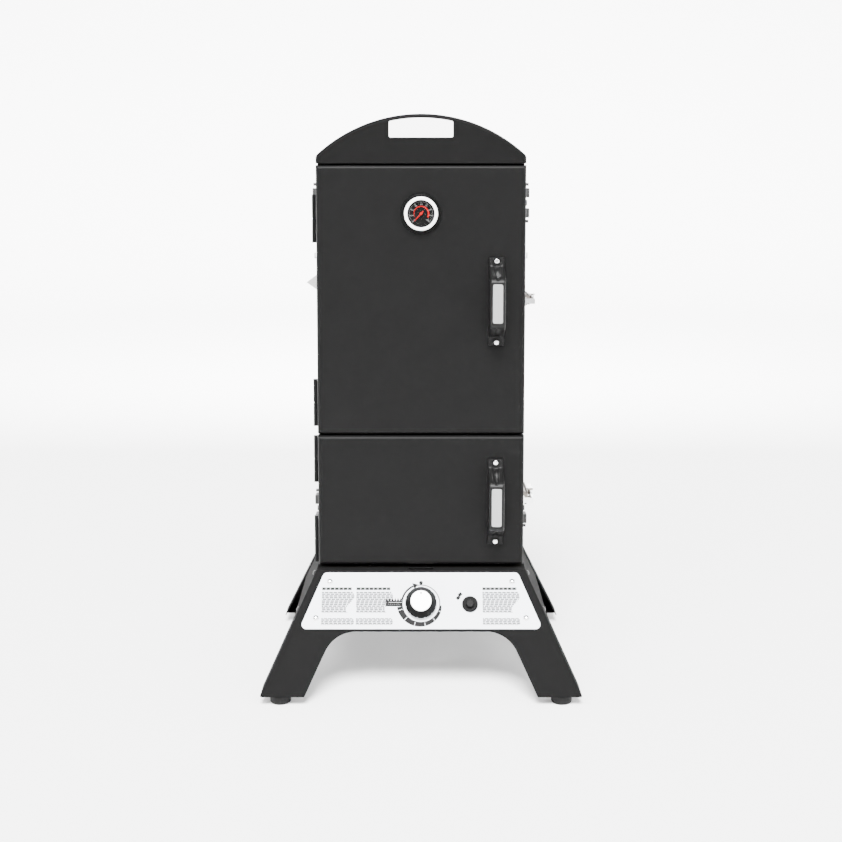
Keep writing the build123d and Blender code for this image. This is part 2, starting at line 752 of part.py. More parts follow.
def bolt_holes(handle_z):
    """Holes for a handle's two bolts."""
    radius = 3.1
    return [
        rod((HANDLE_X, DOOR_FRONT - 2, handle_z + d), (HANDLE_X, DOOR_FRONT + 9, handle_z + d), radius)
        for d in (-BOLT_HALF, BOLT_HALF)
    ]


def stem_hole(radius):
    """The hole for the thermometer's probe."""
    return rod((0, DOOR_FRONT - 2, THERMOMETER_Z), (0, BODY_FRONT, THERMOMETER_Z), radius)


def upper_door_pan():
    return door_pan(UPPER_DOOR, (*bolt_holes(UPPER_HANDLE_Z), stem_hole(PROBE + 0.3)))


def lower_door_pan():
    return door_pan(LOWER_DOOR, bolt_holes(LOWER_HANDLE_Z))


def upper_door_liner():
    return door_liner(UPPER_DOOR, (stem_hole(PROBE + 0.3),))


def lower_door_liner():
    return door_liner(LOWER_DOOR)


def door_handle(z):
    """A bowed handle: two feet on the door, a raised grip and a recess for the inlay."""
    half_long = 93.5
    outer = [(half_long, 0), (half_long, FOOT_OUT), (77, FOOT_OUT), (70, 16), (53, 58), (44, GRIP_OUT)]
    inner = [(38, 41), (46, 38), (62, 5), (66, 0)]
    points = [(v, u) for u, v in outer]
    points += [(v, -u) for u, v in reversed(outer)]
    points += [(v, -u) for u, v in reversed(inner)]
    points += [(v, u) for u, v in inner]
    profile = Plane(origin=(HANDLE_X, DOOR_FRONT, z), x_dir=(0, -1, 0), z_dir=(-1, 0, 0))
    face = make_face(Polyline(*points, close=True))
    bends = [v for v in face.vertices() if v.X > 10.0]
    face = fillet(bends, 7.0)
    grip = profile.location * Pos(0, 0, -HANDLE_WIDE / 2) * extrude(face, HANDLE_WIDE)
    side_edges = [e for e in grip.edges() if abs(e.center().X - HANDLE_X) > HANDLE_WIDE / 2 - 0.1]
    outside = [e for e in side_edges if e.center().Y < DOOR_FRONT - 0.5]
    grip = fillet(outside, 4.0)
    for d in (-BOLT_HALF, BOLT_HALF):
        grip -= rod((HANDLE_X, DOOR_FRONT + 1, z + d), (HANDLE_X, DOOR_FRONT - 20, z + d), 3.1)
    grip -= inlay_block(z, 0.1, 2.0)
    return grip


def inlay_block(z, grow, stand):
    """The inlay's outline on the grip, made solid from the recess floor outwards."""
    wide, tall, corner = 20.9, 81.4, 4.0
    face = RectangleRounded(wide + 2 * grow, tall + 2 * grow, corner)
    front = Plane(origin=(HANDLE_X, DOOR_FRONT - GRIP_OUT + INLAY_DEEP, z), x_dir=(1, 0, 0), z_dir=(0, -1, 0))
    return front.location * extrude(face, INLAY_DEEP + stand)


def handle_inlay(z):
    inlay = inlay_block(z, 0, 0.6)
    return fillet(inlay.faces().sort_by(Axis.Y)[0].edges(), 0.5)


def handle_bolts(z):
    """Two cap bolts that hold a handle to its door."""
    head, head_high, shank = 5.1, 5.5, 3.0
    bolts = []
    for d in (-BOLT_HALF, BOLT_HALF):
        front = Plane(origin=(HANDLE_X, DOOR_FRONT - FOOT_OUT, z + d), x_dir=(1, 0, 0), z_dir=(0, -1, 0))
        bolt = disc(head, 0, head_high)
        bolt = fillet(bolt.edges().sort_by(Axis.Z)[-1], 1.2)
        bolt += disc(shank, -FOOT_OUT - 7, 1)
        bolts.append(front.location * bolt)
    return group(*bolts)


# ---------------------------------------------------------------- hinges


def frame_half(z):
    """The fixed half of a lift-off hinge: lower knuckle, pin, washer and weld plate."""
    low = z - WASHER_GAP / 2 - KNUCKLE_LONG
    high = z - WASHER_GAP / 2
    at = Pos(HINGE_X, HINGE_Y, 0)
    half = at * disc(KNUCKLE, low, high)
    half += at * disc(PIN, low, z + KNUCKLE_LONG - 8)
    half += at * disc(KNUCKLE - 1.2, high, high + WASHER_GAP - 0.4)
    plate = block((HINGE_X, -BODY_HALF), (HINGE_Y + 0.5, HINGE_Y + 4.5), (low, high))
    plate += block((-BODY_HALF - 3, -BODY_HALF), (HINGE_Y + 3, HINGE_Y + 24), (low, high))
    return half + plate


def door_half(z):
    """The door's half of a lift-off hinge: upper knuckle and weld plate."""
    low = z + WASHER_GAP / 2
    high = low + KNUCKLE_LONG
    at = Pos(HINGE_X, HINGE_Y, 0)
    half = at * disc(KNUCKLE, low, high)
    plate = block((HINGE_X, -DOOR_HALF), (HINGE_Y - 4.5, HINGE_Y - 0.5), (low, high))
    plate += block((-DOOR_HALF - 2, -DOOR_HALF), (HINGE_Y - 24, HINGE_Y - 3), (low, high))
    return (half + plate) - at * disc(PIN + FIT, low - 1, high - 5)


def hinge_frame_leaves():
    return group(*[frame_half(z) for z in (*UPPER_HINGES, *LOWER_HINGES)])


def upper_hinge_leaves():
    return group(*[door_half(z) for z in UPPER_HINGES])


def lower_hinge_leaves():
    return group(*[door_half(z) for z in LOWER_HINGES])


# ---------------------------------------------------------------- thermometer


def gauge_place():
    """The thermometer's centre on the upper door: local Z points out of the door."""
    return Plane(origin=(0, DOOR_FRONT, THERMOMETER_Z), x_dir=(1, 0, 0), z_dir=(0, -1, 0)).location


def thermometer_bezel():
    """The dark ring between the thermometer's case and the door."""
    high = 9.0
    ring = disc(GAUGE_BEZEL, 0, high)
    ring = fillet(ring.edges().sort_by(Axis.Z)[-1], 4.0)
    return gauge_place() * (ring - disc(GAUGE_CASE + 0.05, -1, high + 1))


def thermometer_case():
    """The bright case with its rounded lip, and the probe that passes through the door."""
    high, floor = 13.0, 4.0
    case = disc(GAUGE_CASE, 0, high)
    case = fillet(case.edges().sort_by(Axis.Z)[-1], 3.0)
    case -= disc(GAUGE_LIP, floor, high + 1)
    probe_reach = -64.0
    return gauge_place() * (case + disc(PROBE, probe_reach, 1))


def thermometer_dial():
    """The dial plate that sits on the case's floor."""
    return gauge_place() * (disc(GAUGE_LIP - 0.1, 4.0, 5.6) - disc(1.2, 3, 7))


def thermometer_pointer():
    """The pointer on its spindle, at the cold end of the scale."""
    spindle, low, high = 1.1, 4.4, 8.6
    needle_low, needle_high = 6.6, 7.4
    length, tail = 21.0, 7.0
    root_half, tip_half = 1.4, 0.5
    rest_angle = 222.0
    outline = [(-root_half, -tail), (root_half, -tail), (tip_half, length), (-tip_half, length)]
    needle = extrude(make_face(Polyline(*outline, close=True)), needle_high - needle_low)
    needle = Pos(0, 0, needle_low) * needle + disc(3.0, needle_low, needle_high + 0.6)
    return gauge_place() * Rot(0, 0, -rest_angle) * (needle + disc(spindle, low, high))


# ---------------------------------------------------------------- side hardware


def damper(side, z):
    """A round draught damper that turns on its centre bolt: dished plate, two grips, two pegs."""
    radius, low, face = 46.0, 0.5, 12.0
    wall, boss, boss_high = 3.0, 11.0, 15.4
    grip_half, grip_in, grip_out, grip_high = 15.0, 12.0, 33.0, 23.0
    peg, peg_ring, peg_high = 3.4, 41.5, 21.7
    rotor = disc(radius, low, face)
    rotor = fillet(rotor.edges().sort_by(Axis.Z)[-1], 2.5)
    rotor -= disc(radius - wall, low - 1, face - wall)
    rotor += disc(boss, low, boss_high)
    for up in (-1, 1):
        grip = block((-grip_half, grip_half), (up * grip_in, up * grip_out), (face - 1, grip_high))
        grip = fillet(grip.faces().sort_by(Axis.Z)[-1].edges(), 2.5)
        rotor += grip
        rotor += Pos(0, up * peg_ring, 0) * disc(peg, face - 1, peg_high)
    rotor -= disc(DAMPER_BOLT + FIT, low - 1, boss_high + 1)
    for slot in vent_slots():
        rotor -= Rot(0, 0, 90) * Pos(0, 0, low - 1) * extrude(slot, face + 2)
    return side_place(side, SIDE_HARDWARE_Y, z) * rotor


def wall_screw_places():
    """Places and shank radii of the screws that go into the cabinet's side walls."""
    opener = [(side_place(-1, OPENER_Y, z), 2.5) for z in OPENER_SCREWS]
    hooks = [(side_place(side, SIDE_HARDWARE_Y, HOOK_Z + 1.0), 2.0) for side in (-1, 1)]
    return opener + hooks


def body_fasteners():
    """Damper bolts, opener screws and the screws that hold the base's side panels."""
    pieces = []
    for side, z in DAMPERS.values():
        bolt = disc(DAMPER_BOLT, -8, 16) + disc(6.4, 15.7, 18.5) + disc(5.5, -8, -SKIN)
        pieces.append(side_place(side, SIDE_HARDWARE_Y, z) * bolt)
    for z in OPENER_SCREWS:
        pieces.append(side_place(-1, OPENER_Y, z) * Pos(0, 0, OPENER_SHEET) * domed_screw(6.2, 6.0, 2.5, 9))
    for side in (-1, 1):
        hook_face = side_place(side, SIDE_HARDWARE_Y, HOOK_Z + 1.0) * Pos(0, 0, HOOK_SHEET)
        pieces.append(hook_face * domed_screw(3.6, 2.2, 2.0, 9))
    for place in side_screws():
        pieces.append(place * domed_screw(5.5, 3.0, 2.6, 8))
    return group(*pieces)


def tool_hooks():
    """A bent steel hook on each side wall for hanging tools."""
    half_wide, low, high, reach = 12.0, -6.8, 6.8, 20.0
    hooks = []
    for side in (-1, 1):
        strip = block((-half_wide, half_wide), (low, high), (0, HOOK_SHEET))
        strip += block((-half_wide, half_wide), (low, low + HOOK_SHEET), (0, reach))
        strip += block((-half_wide, half_wide), (low, high - 1), (reach - HOOK_SHEET, reach))
        strip -= Pos(0, 1.0, 0) * disc(2.1, -1, HOOK_SHEET + 1)
        hooks.append(side_place(side, SIDE_HARDWARE_Y, HOOK_Z) * strip)
    return group(*hooks)


def bottle_opener():
    """A plate on the left wall with a pressed hood, open below, that catches a bottle's cap."""
    half, sheet = 18.0, OPENER_SHEET
    plate_low, plate_high = 836.0, 912.0
    hood_top, apex_z, apex_out, hood_low = 893.0, 872.0, 28.5, 857.0
    middle = (OPENER_SCREWS[0] + OPENER_SCREWS[1]) / 2
    plate = RectangleRounded(2 * half, plate_high - plate_low, 6.0)
    opener = Pos(0, (plate_low + plate_high) / 2 - middle, 0) * extrude(plate, sheet)
    across = Plane(origin=(-half + 2, 0, 0), x_dir=(0, 1, 0), z_dir=(1, 0, 0))
    outline = [(hood_top, 0.5), (apex_z, apex_out), (hood_low, 7.0), (hood_low, 0.5)]
    outline = [(z - middle, out) for z, out in outline]
    hollow = [(hood_top - 4, sheet), (apex_z, apex_out - 2.2), (hood_low - 2, 5.0), (hood_low - 2, sheet)]
    hollow = [(z - middle, out) for z, out in hollow]
    opener += prism(outline, across, 0, 2 * half - 4)
    opener -= prism(hollow, across, sheet, 2 * half - 4 - sheet)
    for z in OPENER_SCREWS:
        opener -= Pos(0, z - middle, 0) * disc(2.6, -1, sheet + 1)
    return side_place(-1, OPENER_Y, middle) * opener


# ---------------------------------------------------------------- draw latches
# Drawn for one latch in a frame that sits on the right wall: X outwards, Y to the rear, Z up.


def latch_at(z):
    return Pos(BODY_HALF, 0, z)


def latch_base(z):
    """The half-round stand-off on the wall, the base plate and the ears that hold the lever."""
    boss, flat = 13.8, 12.5
    ys = (-112.0, -12.0)
    base = rod((0, ys[0], 0), (0, ys[1], 0), boss) & block((0, flat), ys, (-boss, boss))
    base += block((flat - 0.5, flat + 1.5), (ys[0] + 2, ys[1] - 2), (-11, 11))
    x, y = LEVER_PIVOT
    ear = (9.0, 10.5)
    for up in (-1, 1):
        zs = (up * ear[0], up * ear[1])
        base += block((flat + 1, x), (y - 6, y + 6), zs)
        base += rod((x, y, zs[0]), (x, y, zs[1]), 6.0)
        base += rod((x, y, up * (CHEEK[0] - 0.2)), (x, y, zs[1]), LEVER_PIN)
    return latch_at(z) * base


def latch_lever(z):
    """The lever: two cheeks that turn on the ears, the claw's pin and the handle web."""
    x, y = LEVER_PIVOT
    web_in, web_out = 26.5, 28.2
    front_end, rear_end, tip_end = -50.0, -18.0, -8.0
    lever = None
    for up in (-1, 1):
        zs = (up * CHEEK[0], up * CHEEK[1])
        cheek = block((x - 4.5, web_out), (y, rear_end), zs) + rod((x, y, zs[0]), (x, y, zs[1]), 6.2)
        cheek -= rod((x, y, zs[0] - up), (x, y, zs[1] + up), LEVER_PIN + FIT)
        lever = cheek if lever is None else lever + cheek
    lever += block((web_in, web_out), (front_end, rear_end), (-CHEEK[1], CHEEK[1]))
    lean = 3.4
    outline = [
        (web_in, rear_end - 1), (web_in + lean, tip_end),
        (web_out + lean, tip_end), (web_out, rear_end - 1),
    ]
    lever += prism(outline, Plane.XY, -CHEEK[1], CHEEK[1])
    lever += rod((*CLAW_PIVOT, -CHEEK[1]), (*CLAW_PIVOT, CHEEK[1]), CLAW_PIN)
    return latch_at(z) * lever


def latch_claw(z):
    """The claw: an eye on the lever's pin, an arm and a turned-in tip that hooks the keeper."""
    x, y = CLAW_PIVOT
    thick, tip = 2.4, (-150.0, -147.6)
    tip_in = 8.5
    claw = rod((x, y, -CLAW_HALF), (x, y, CLAW_HALF), 4.2)
    claw += block((x - thick / 2, x + thick / 2), (tip[0], y), (-CLAW_HALF, CLAW_HALF))
    claw += block((tip_in, x + thick / 2), tip, (-CLAW_HALF, CLAW_HALF))
    claw -= rod((x, y, -CLAW_HALF - 1), (x, y, CLAW_HALF + 1), CLAW_PIN + FIT)
    return latch_at(z) * claw


def latch_keeper(z):
    """The keeper on a door's side: a small angle whose lip the claw pulls on."""
    plate, lip_front, lip = 1.8, -147.0, 2.4
    out, plate_half, lip_half = 15.0, 8.0, 5.5
    inner = DOOR_HALF - BODY_HALF
    keeper = block((inner, inner + plate), (-150.0, -128.0), (-plate_half, plate_half))
    keeper += block((inner, out), (lip_front, lip_front + lip), (-lip_half, lip_half))
    return latch_at(z) * keeper


# ---------------------------------------------------------------- the whole smoker


def all_parts():
    """Every node's name and the function that makes it."""
    parts = {
        maker.__name__: maker
        for maker in (
            front_leg_panel, rear_leg_panel, base_side_panels, control_plate, plate_screws,
            body_fasteners, outer_shell, face_frame, floor_pan, inner_liner, roof_cap, badge_plate,
            door_gaskets, rack_rails, cooking_grids, water_bowl, chip_box, burner, gas_valve,
            valve_plug, valve_stem, control_knob, knob_cap, igniter_body, igniter_button,
            igniter_electrode, upper_door_pan, lower_door_pan, upper_door_liner, lower_door_liner,
            hinge_frame_leaves, upper_hinge_leaves, lower_hinge_leaves, thermometer_bezel,
            thermometer_case, thermometer_dial, thermometer_pointer, tool_hooks, bottle_opener,
        )
    }
    for name, (x, y) in FEET.items():
        parts[name] = lambda x=x, y=y: foot(x, y)
    for name, (side, z) in DAMPERS.items():
        parts[name] = lambda side=side, z=z: damper(side, z)
    heights = (("upper", UPPER_HANDLE_Z, UPPER_LATCH_Z), ("lower", LOWER_HANDLE_Z, LOWER_LATCH_Z))
    for door, handle_z, latch_z in heights:
        parts[f"{door}_handle"] = lambda z=handle_z: door_handle(z)
        parts[f"{door}_handle_inlay"] = lambda z=handle_z: handle_inlay(z)
        parts[f"{door}_handle_bolts"] = lambda z=handle_z: handle_bolts(z)
        parts[f"{door}_latch_lever"] = lambda z=latch_z: latch_lever(z)
        parts[f"{door}_latch_claw"] = lambda z=latch_z: latch_claw(z)
        parts[f"{door}_latch_keeper"] = lambda z=latch_z: latch_keeper(z)
    parts["latch_bases"] = lambda: group(latch_base(UPPER_LATCH_Z), latch_base(LOWER_LATCH_Z))
    return parts


def main():
    os.makedirs("parts", exist_ok=True)
    for name, make in all_parts().items():
        export_step(make(), f"parts/{name}.step")


main()
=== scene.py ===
"""The looks of a gas-fired cabinet smoker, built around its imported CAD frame, in metres."""
import json
from math import cos, hypot, pi, radians, sin, tau

import bmesh
import bpy
from mathutils import Matrix, Vector


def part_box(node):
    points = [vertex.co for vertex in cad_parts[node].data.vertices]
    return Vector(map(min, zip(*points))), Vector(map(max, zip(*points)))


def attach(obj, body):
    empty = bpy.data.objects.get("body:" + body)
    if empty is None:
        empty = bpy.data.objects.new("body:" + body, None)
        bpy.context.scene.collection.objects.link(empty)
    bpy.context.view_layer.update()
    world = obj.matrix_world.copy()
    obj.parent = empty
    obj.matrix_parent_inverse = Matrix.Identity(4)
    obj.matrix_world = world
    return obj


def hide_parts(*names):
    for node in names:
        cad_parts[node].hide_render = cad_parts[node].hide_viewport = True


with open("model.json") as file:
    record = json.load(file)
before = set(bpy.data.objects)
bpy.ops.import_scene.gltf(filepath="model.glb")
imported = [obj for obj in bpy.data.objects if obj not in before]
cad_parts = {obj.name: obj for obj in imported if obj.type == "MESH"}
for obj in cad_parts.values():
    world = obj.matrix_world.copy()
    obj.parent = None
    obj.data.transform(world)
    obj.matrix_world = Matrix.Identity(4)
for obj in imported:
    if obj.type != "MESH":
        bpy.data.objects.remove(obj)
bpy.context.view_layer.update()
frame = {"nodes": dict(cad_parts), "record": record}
NODES = frame["nodes"]
MM = 0.001

bl_info = {
    "name": "Cabinet smoker",
    "version": (1, 0, 0),
    "blender": (4, 5, 0),
    "location": "3D View > Sidebar > Smoker",
    "description": "Finishes and fine pieces of a two-door cabinet smoker",
    "category": "Object",
}

# ---------------------------------------------------------------- places read from the frame

FRONT = Vector((0, -1, 0))
GAUGE = sum(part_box("thermometer_case"), Vector()) / 2
GAUGE.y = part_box("thermometer_bezel")[0].y
KNOB = sum(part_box("knob_cap"), Vector()) / 2
PLATE_LOW, PLATE_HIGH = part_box("control_plate")
PLATE_RISE = PLATE_HIGH.z - PLATE_LOW.z
PLATE_RUN = PLATE_HIGH.y - PLATE_LOW.y
PLATE_LONG = hypot(PLATE_RISE, PLATE_RUN)
STRETCH = PLATE_LONG / PLATE_RISE
PLATE_OUT = Vector((0, -PLATE_RISE, PLATE_RUN)).normalized()
PLATE_UP = Vector((0, PLATE_RUN, PLATE_RISE)).normalized()
PLATE_MIDDLE = Vector((0, (PLATE_LOW.y + PLATE_HIGH.y) / 2, (PLATE_LOW.z + PLATE_HIGH.z) / 2))
KNOB_Z = (KNOB - PLATE_OUT * (KNOB - PLATE_MIDDLE).dot(PLATE_OUT)).z
IGNITER = sum(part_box("igniter_body"), Vector()) / 2
DOORS = {"upper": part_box("upper_door_pan"), "lower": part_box("lower_door_pan")}


# ---------------------------------------------------------------- shader maths


class Field:
    """A socket's value over a surface, so that shader maths reads as Python."""

    def __init__(self, paint, socket):
        self.paint = paint
        self.socket = socket

    def math(self, operation, *others):
        return self.paint.add("ShaderNodeMath", {"operation": operation}, self, *others)

    def __add__(self, other):
        return self.math("ADD", other)

    def __sub__(self, other):
        return self.math("SUBTRACT", other)

    def __mul__(self, other):
        return self.math("MULTIPLY", other)

    def __truediv__(self, other):
        return self.math("DIVIDE", other)

    def __radd__(self, other):
        return self.math("ADD", other)

    def __rmul__(self, other):
        return self.math("MULTIPLY", other)

    def __rsub__(self, other):
        return self.paint.add("ShaderNodeMath", {"operation": "SUBTRACT"}, other, self)

    def __gt__(self, other):
        return self.math("GREATER_THAN", other)

    def __lt__(self, other):
        return self.math("LESS_THAN", other)

    def size(self):
        return self.math("ABSOLUTE")

    def root(self):
        return self.math("SQRT")

    def part(self):
        return self.math("FRACT")

    def clear(self):
        """Held between 0 and 1."""
        return self.paint.add("ShaderNodeClamp", {}, self, 0.0, 1.0)

    def band(self, low, high, soft):
        """1 between low and high, fading over soft at both ends."""
        rise = ((self - low) / soft).clear()
        fall = ((high - self) / soft).clear()
        return rise * fall


class Paint:
    """One material: a Principled shader and the nodes that feed it."""

    def __init__(self, name, **fixed):
        self.material = bpy.data.materials.new(name)
        self.material.use_nodes = True
        self.tree = self.material.node_tree
        self.shader = self.tree.nodes["Principled BSDF"]
        for socket, value in fixed.items():
            self.shader.inputs[socket.replace("_", " ")].default_value = value
        self.place = self.add("ShaderNodeTexCoord", {}, out="Object")

    def add(self, kind, settings, *values, out=0, **named):
        """Any node: its settings first, then the values or links of its sockets."""
        node = self.tree.nodes.new(kind)
        for key, value in settings.items():
            setattr(node, key, value)
        sockets = [(node.inputs[n], v) for n, v in enumerate(values)]
        sockets += [(node.inputs[n.replace("_", " ")], v) for n, v in named.items()]
        for socket, value in sockets:
            if isinstance(value, Field):
                self.tree.links.new(value.socket, socket)
            elif value is not None:
                socket.default_value = value
        return Field(self, node.outputs[out])

    def axes(self):
        """The three Object coordinates as numbers."""
        parts = self.add("ShaderNodeSeparateXYZ", {}, self.place)
        node = parts.socket.node
        return [Field(self, node.outputs[n]) for n in range(3)]

    def noise(self, scale, detail=2.0, stretch=(1, 1, 1), shift=(0, 0, 0)):
        """Noise from 0 to 1 with features about 1/scale metres across."""
        place = self.add("ShaderNodeMapping", {}, self.place, Location=shift, Scale=stretch)
        settings = {"noise_dimensions": "3D"}
        return self.add("ShaderNodeTexNoise", settings, Vector=place, Scale=scale, Detail=detail)

    def cells(self, scale, feature="F1"):
        """Distance to the nearest of many scattered points."""
        return self.add("ShaderNodeTexVoronoi", {"feature": feature}, Vector=self.place, Scale=scale)

    def mix(self, share, first, second):
        """A colour between two: share 0 gives the first."""
        node = self.tree.nodes.new("ShaderNodeMix")
        node.data_type = "RGBA"
        for slot, value in ((0, share), (6, first), (7, second)):
            if isinstance(value, Field):
                self.tree.links.new(value.socket, node.inputs[slot])
            else:
                node.inputs[slot].default_value = value
        return Field(self, node.outputs[2])

    def feed(self, socket, value):
        self.tree.links.new(value.socket, self.shader.inputs[socket])

    def bump(self, height, strength, distance):
        """Raises the surface by height times distance, in metres."""
        normal = self.add("ShaderNodeBump", {}, Strength=strength, Distance=distance, Height=height)
        self.feed("Normal", normal)


def grey(level, warm=0.0):
    """A neutral colour; warm above 0 leans to red, below 0 to blue."""
    return (level * (1 + warm), level, level * (1 - warm), 1.0)


# ---------------------------------------------------------------- materials


def powder_coat(name, level, rough=0.5, shine=0.06):
    """Baked powder coat: faint orange peel, a fine grain and slow changes of tone."""
    paint = Paint(name, Specular_IOR_Level=shine)
    cloud = paint.noise(6, 3.0)
    grain = paint.noise(1400, 2.0)
    peel = paint.noise(260, 1.0)
    tone = (cloud * 0.5 + grain * 0.5).clear()
    paint.feed("Base Color", paint.mix(tone, grey(level * 0.82), grey(level * 1.18)))
    paint.feed("Roughness", rough - 0.06 + cloud * 0.06 + grain * 0.08)
    paint.bump(grain * 0.35 + peel * 0.65, 0.22, 0.12 * MM)
    return paint.material


def brushed(name, colour, grain_along=(1, 60, 60), rough=0.3, streak_share=0.16, metal=1.0):
    """Brushed metal: long fine streaks along one axis, a few scratches and smudges."""
    paint = Paint(name, Metallic=metal)
    streak = paint.noise(38, 4.0, stretch=grain_along)
    fine = paint.noise(150, 2.0, stretch=grain_along, shift=(0.3, 0.1, 0.2))
    smudge = paint.noise(14, 2.0)
    tone = (streak * 0.6 + fine * 0.4).clear()
    dark = tuple(c * (1 - streak_share) for c in colour[:3]) + (1.0,)
    light = tuple(min(1.0, c * (1 + streak_share)) for c in colour[:3]) + (1.0,)
    paint.feed("Base Color", paint.mix(tone, dark, light))
    paint.feed("Roughness", rough - 0.08 + fine * 0.12 + smudge * 0.1)
    paint.bump(streak * 0.5 + fine * 0.5, 0.12, 0.05 * MM)
    return paint.material


def bordered_inlay(name):
    """Brushed aluminium for the handles' inlays, with a fine engraved line inside the edge."""
    paint = Paint(name, Metallic=0.6)
    x, _, z = paint.axes()
    low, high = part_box("upper_handle_inlay")
    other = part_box("lower_handle_inlay")
    middle = (low.z + high.z) / 2
    apart = middle - (other[0].z + other[1].z) / 2
    down = z - middle
    down = down + (down < -apart / 2) * apart
    inset = 3.6 * MM
    across = ((x - (low.x + high.x) / 2).size() - ((high.x - low.x) / 2 - inset)) * 1000.0
    along = (down.size() - ((high.z - low.z) / 2 - inset)) * 1000.0
    edge = across.math("MAXIMUM", along)
    line = edge.band(-0.25, 0.25, 0.2)
    streak = paint.noise(60, 4.0, stretch=(40, 40, 1))
    tone = paint.mix(streak, grey(0.24), grey(0.32))
    paint.feed("Base Color", paint.mix(line * 0.5, tone, grey(0.2)))
    paint.feed("Roughness", 0.3 + streak * 0.15)
    paint.bump(streak * 0.3 - line, 0.3, 0.1 * MM)
    return paint.material


def polished(name, colour, rough=0.08):
    """Bright plating with a faint ripple and fingerprints."""
    paint = Paint(name, Metallic=1.0)
    ripple = paint.noise(120, 2.0)
    smudge = paint.noise(420, 3.0, shift=(0.2, 0.7, 0.1))
    paint.feed("Base Color", paint.mix(smudge, tuple(c * 0.92 for c in colour[:3]) + (1.0,), colour))
    paint.feed("Roughness", rough + smudge * 0.08)
    paint.bump(ripple, 0.06, 0.05 * MM)
    return paint.material


def moulded(name, level, rough=0.45, shine=0.1, grain_scale=2200, warm=0.0):
    """Moulded plastic: spark-eroded grain and a slightly worn sheen."""
    paint = Paint(name, Specular_IOR_Level=shine)
    grain = paint.noise(grain_scale, 2.0)
    wear = paint.noise(30, 3.0, shift=(0.5, 0.2, 0.9))
    paint.feed("Base Color", paint.mix(wear, grey(level * 0.85, warm), grey(level * 1.15, warm)))
    paint.feed("Roughness", rough + wear * 0.1 - grain * 0.08)
    paint.bump(grain, 0.25, 0.06 * MM)
    return paint.material


def cast(name, colour, metal=1.0, rough=0.5):
    """Cast metal: sandy surface with soft pits."""
    paint = Paint(name, Metallic=metal)
    sand = paint.noise(900, 3.0)
    pits = paint.cells(260)
    paint.feed("Base Color", paint.mix(sand, tuple(c * 0.8 for c in colour[:3]) + (1.0,), colour))
    paint.feed("Roughness", rough - 0.05 + sand * 0.15)
    paint.bump(sand * 0.5 + pits * 0.5, 0.35, 0.12 * MM)
    return paint.material


def aluminised(name):
    """Plain aluminised sheet inside the cabinet, with spangle and a light brown smoke film."""
    paint = Paint(name, Metallic=0.9)
    spangle = paint.cells(90, "SMOOTH_F1")
    film = paint.noise(5, 4.0)
    grain = paint.noise(1100, 2.0)
    clean = paint.mix(spangle, (0.2, 0.2, 0.195, 1), (0.3, 0.3, 0.295, 1))
    share = ((film - 0.42) * 2.2).clear() * 0.55
    paint.feed("Base Color", paint.mix(share, clean, (0.14, 0.1, 0.065, 1)))
    paint.feed("Roughness", 0.34 + film * 0.18 + grain * 0.08)
    paint.bump(grain, 0.12, 0.05 * MM)
    return paint.material


def heat_tinted(name):
    """Stainless burner steel, blued and straw-coloured by the flame."""
    paint = Paint(name, Metallic=1.0)
    heat = paint.noise(22, 3.0)
    grain = paint.noise(900, 2.0)
    warm = paint.mix(((heat - 0.4) * 3).clear(), (0.46, 0.44, 0.42, 1), (0.34, 0.22, 0.12, 1))
    paint.feed("Base Color", paint.mix(((heat - 0.56) * 6).clear(), warm, (0.12, 0.14, 0.24, 1)))
    paint.feed("Roughness", 0.3 + grain * 0.2)
    paint.bump(grain, 0.15, 0.05 * MM)
    return paint.material


def rope(name):
    """Graphited glass rope: crossed yarns."""
    paint = Paint(name, Roughness=0.95)
    yarn = paint.noise(700, 2.0)
    paint.feed("Base Color", paint.mix(yarn, grey(0.03), grey(0.12, 0.02)))
    paint.bump(yarn, 0.6, 0.4 * MM)
    return paint.material


def glazed(name):
    """Glazed ceramic with a few soot specks."""
    paint = Paint(name, Coat_Weight=0.6, Coat_Roughness=0.08)
    speck = paint.noise(600, 2.0)
    soot = ((speck - 0.62) * 8).clear()
    paint.feed("Base Color", paint.mix(soot, (0.8, 0.77, 0.7, 1), (0.2, 0.16, 0.12, 1)))
    paint.feed("Roughness", 0.25 + speck * 0.1)
    return paint.material


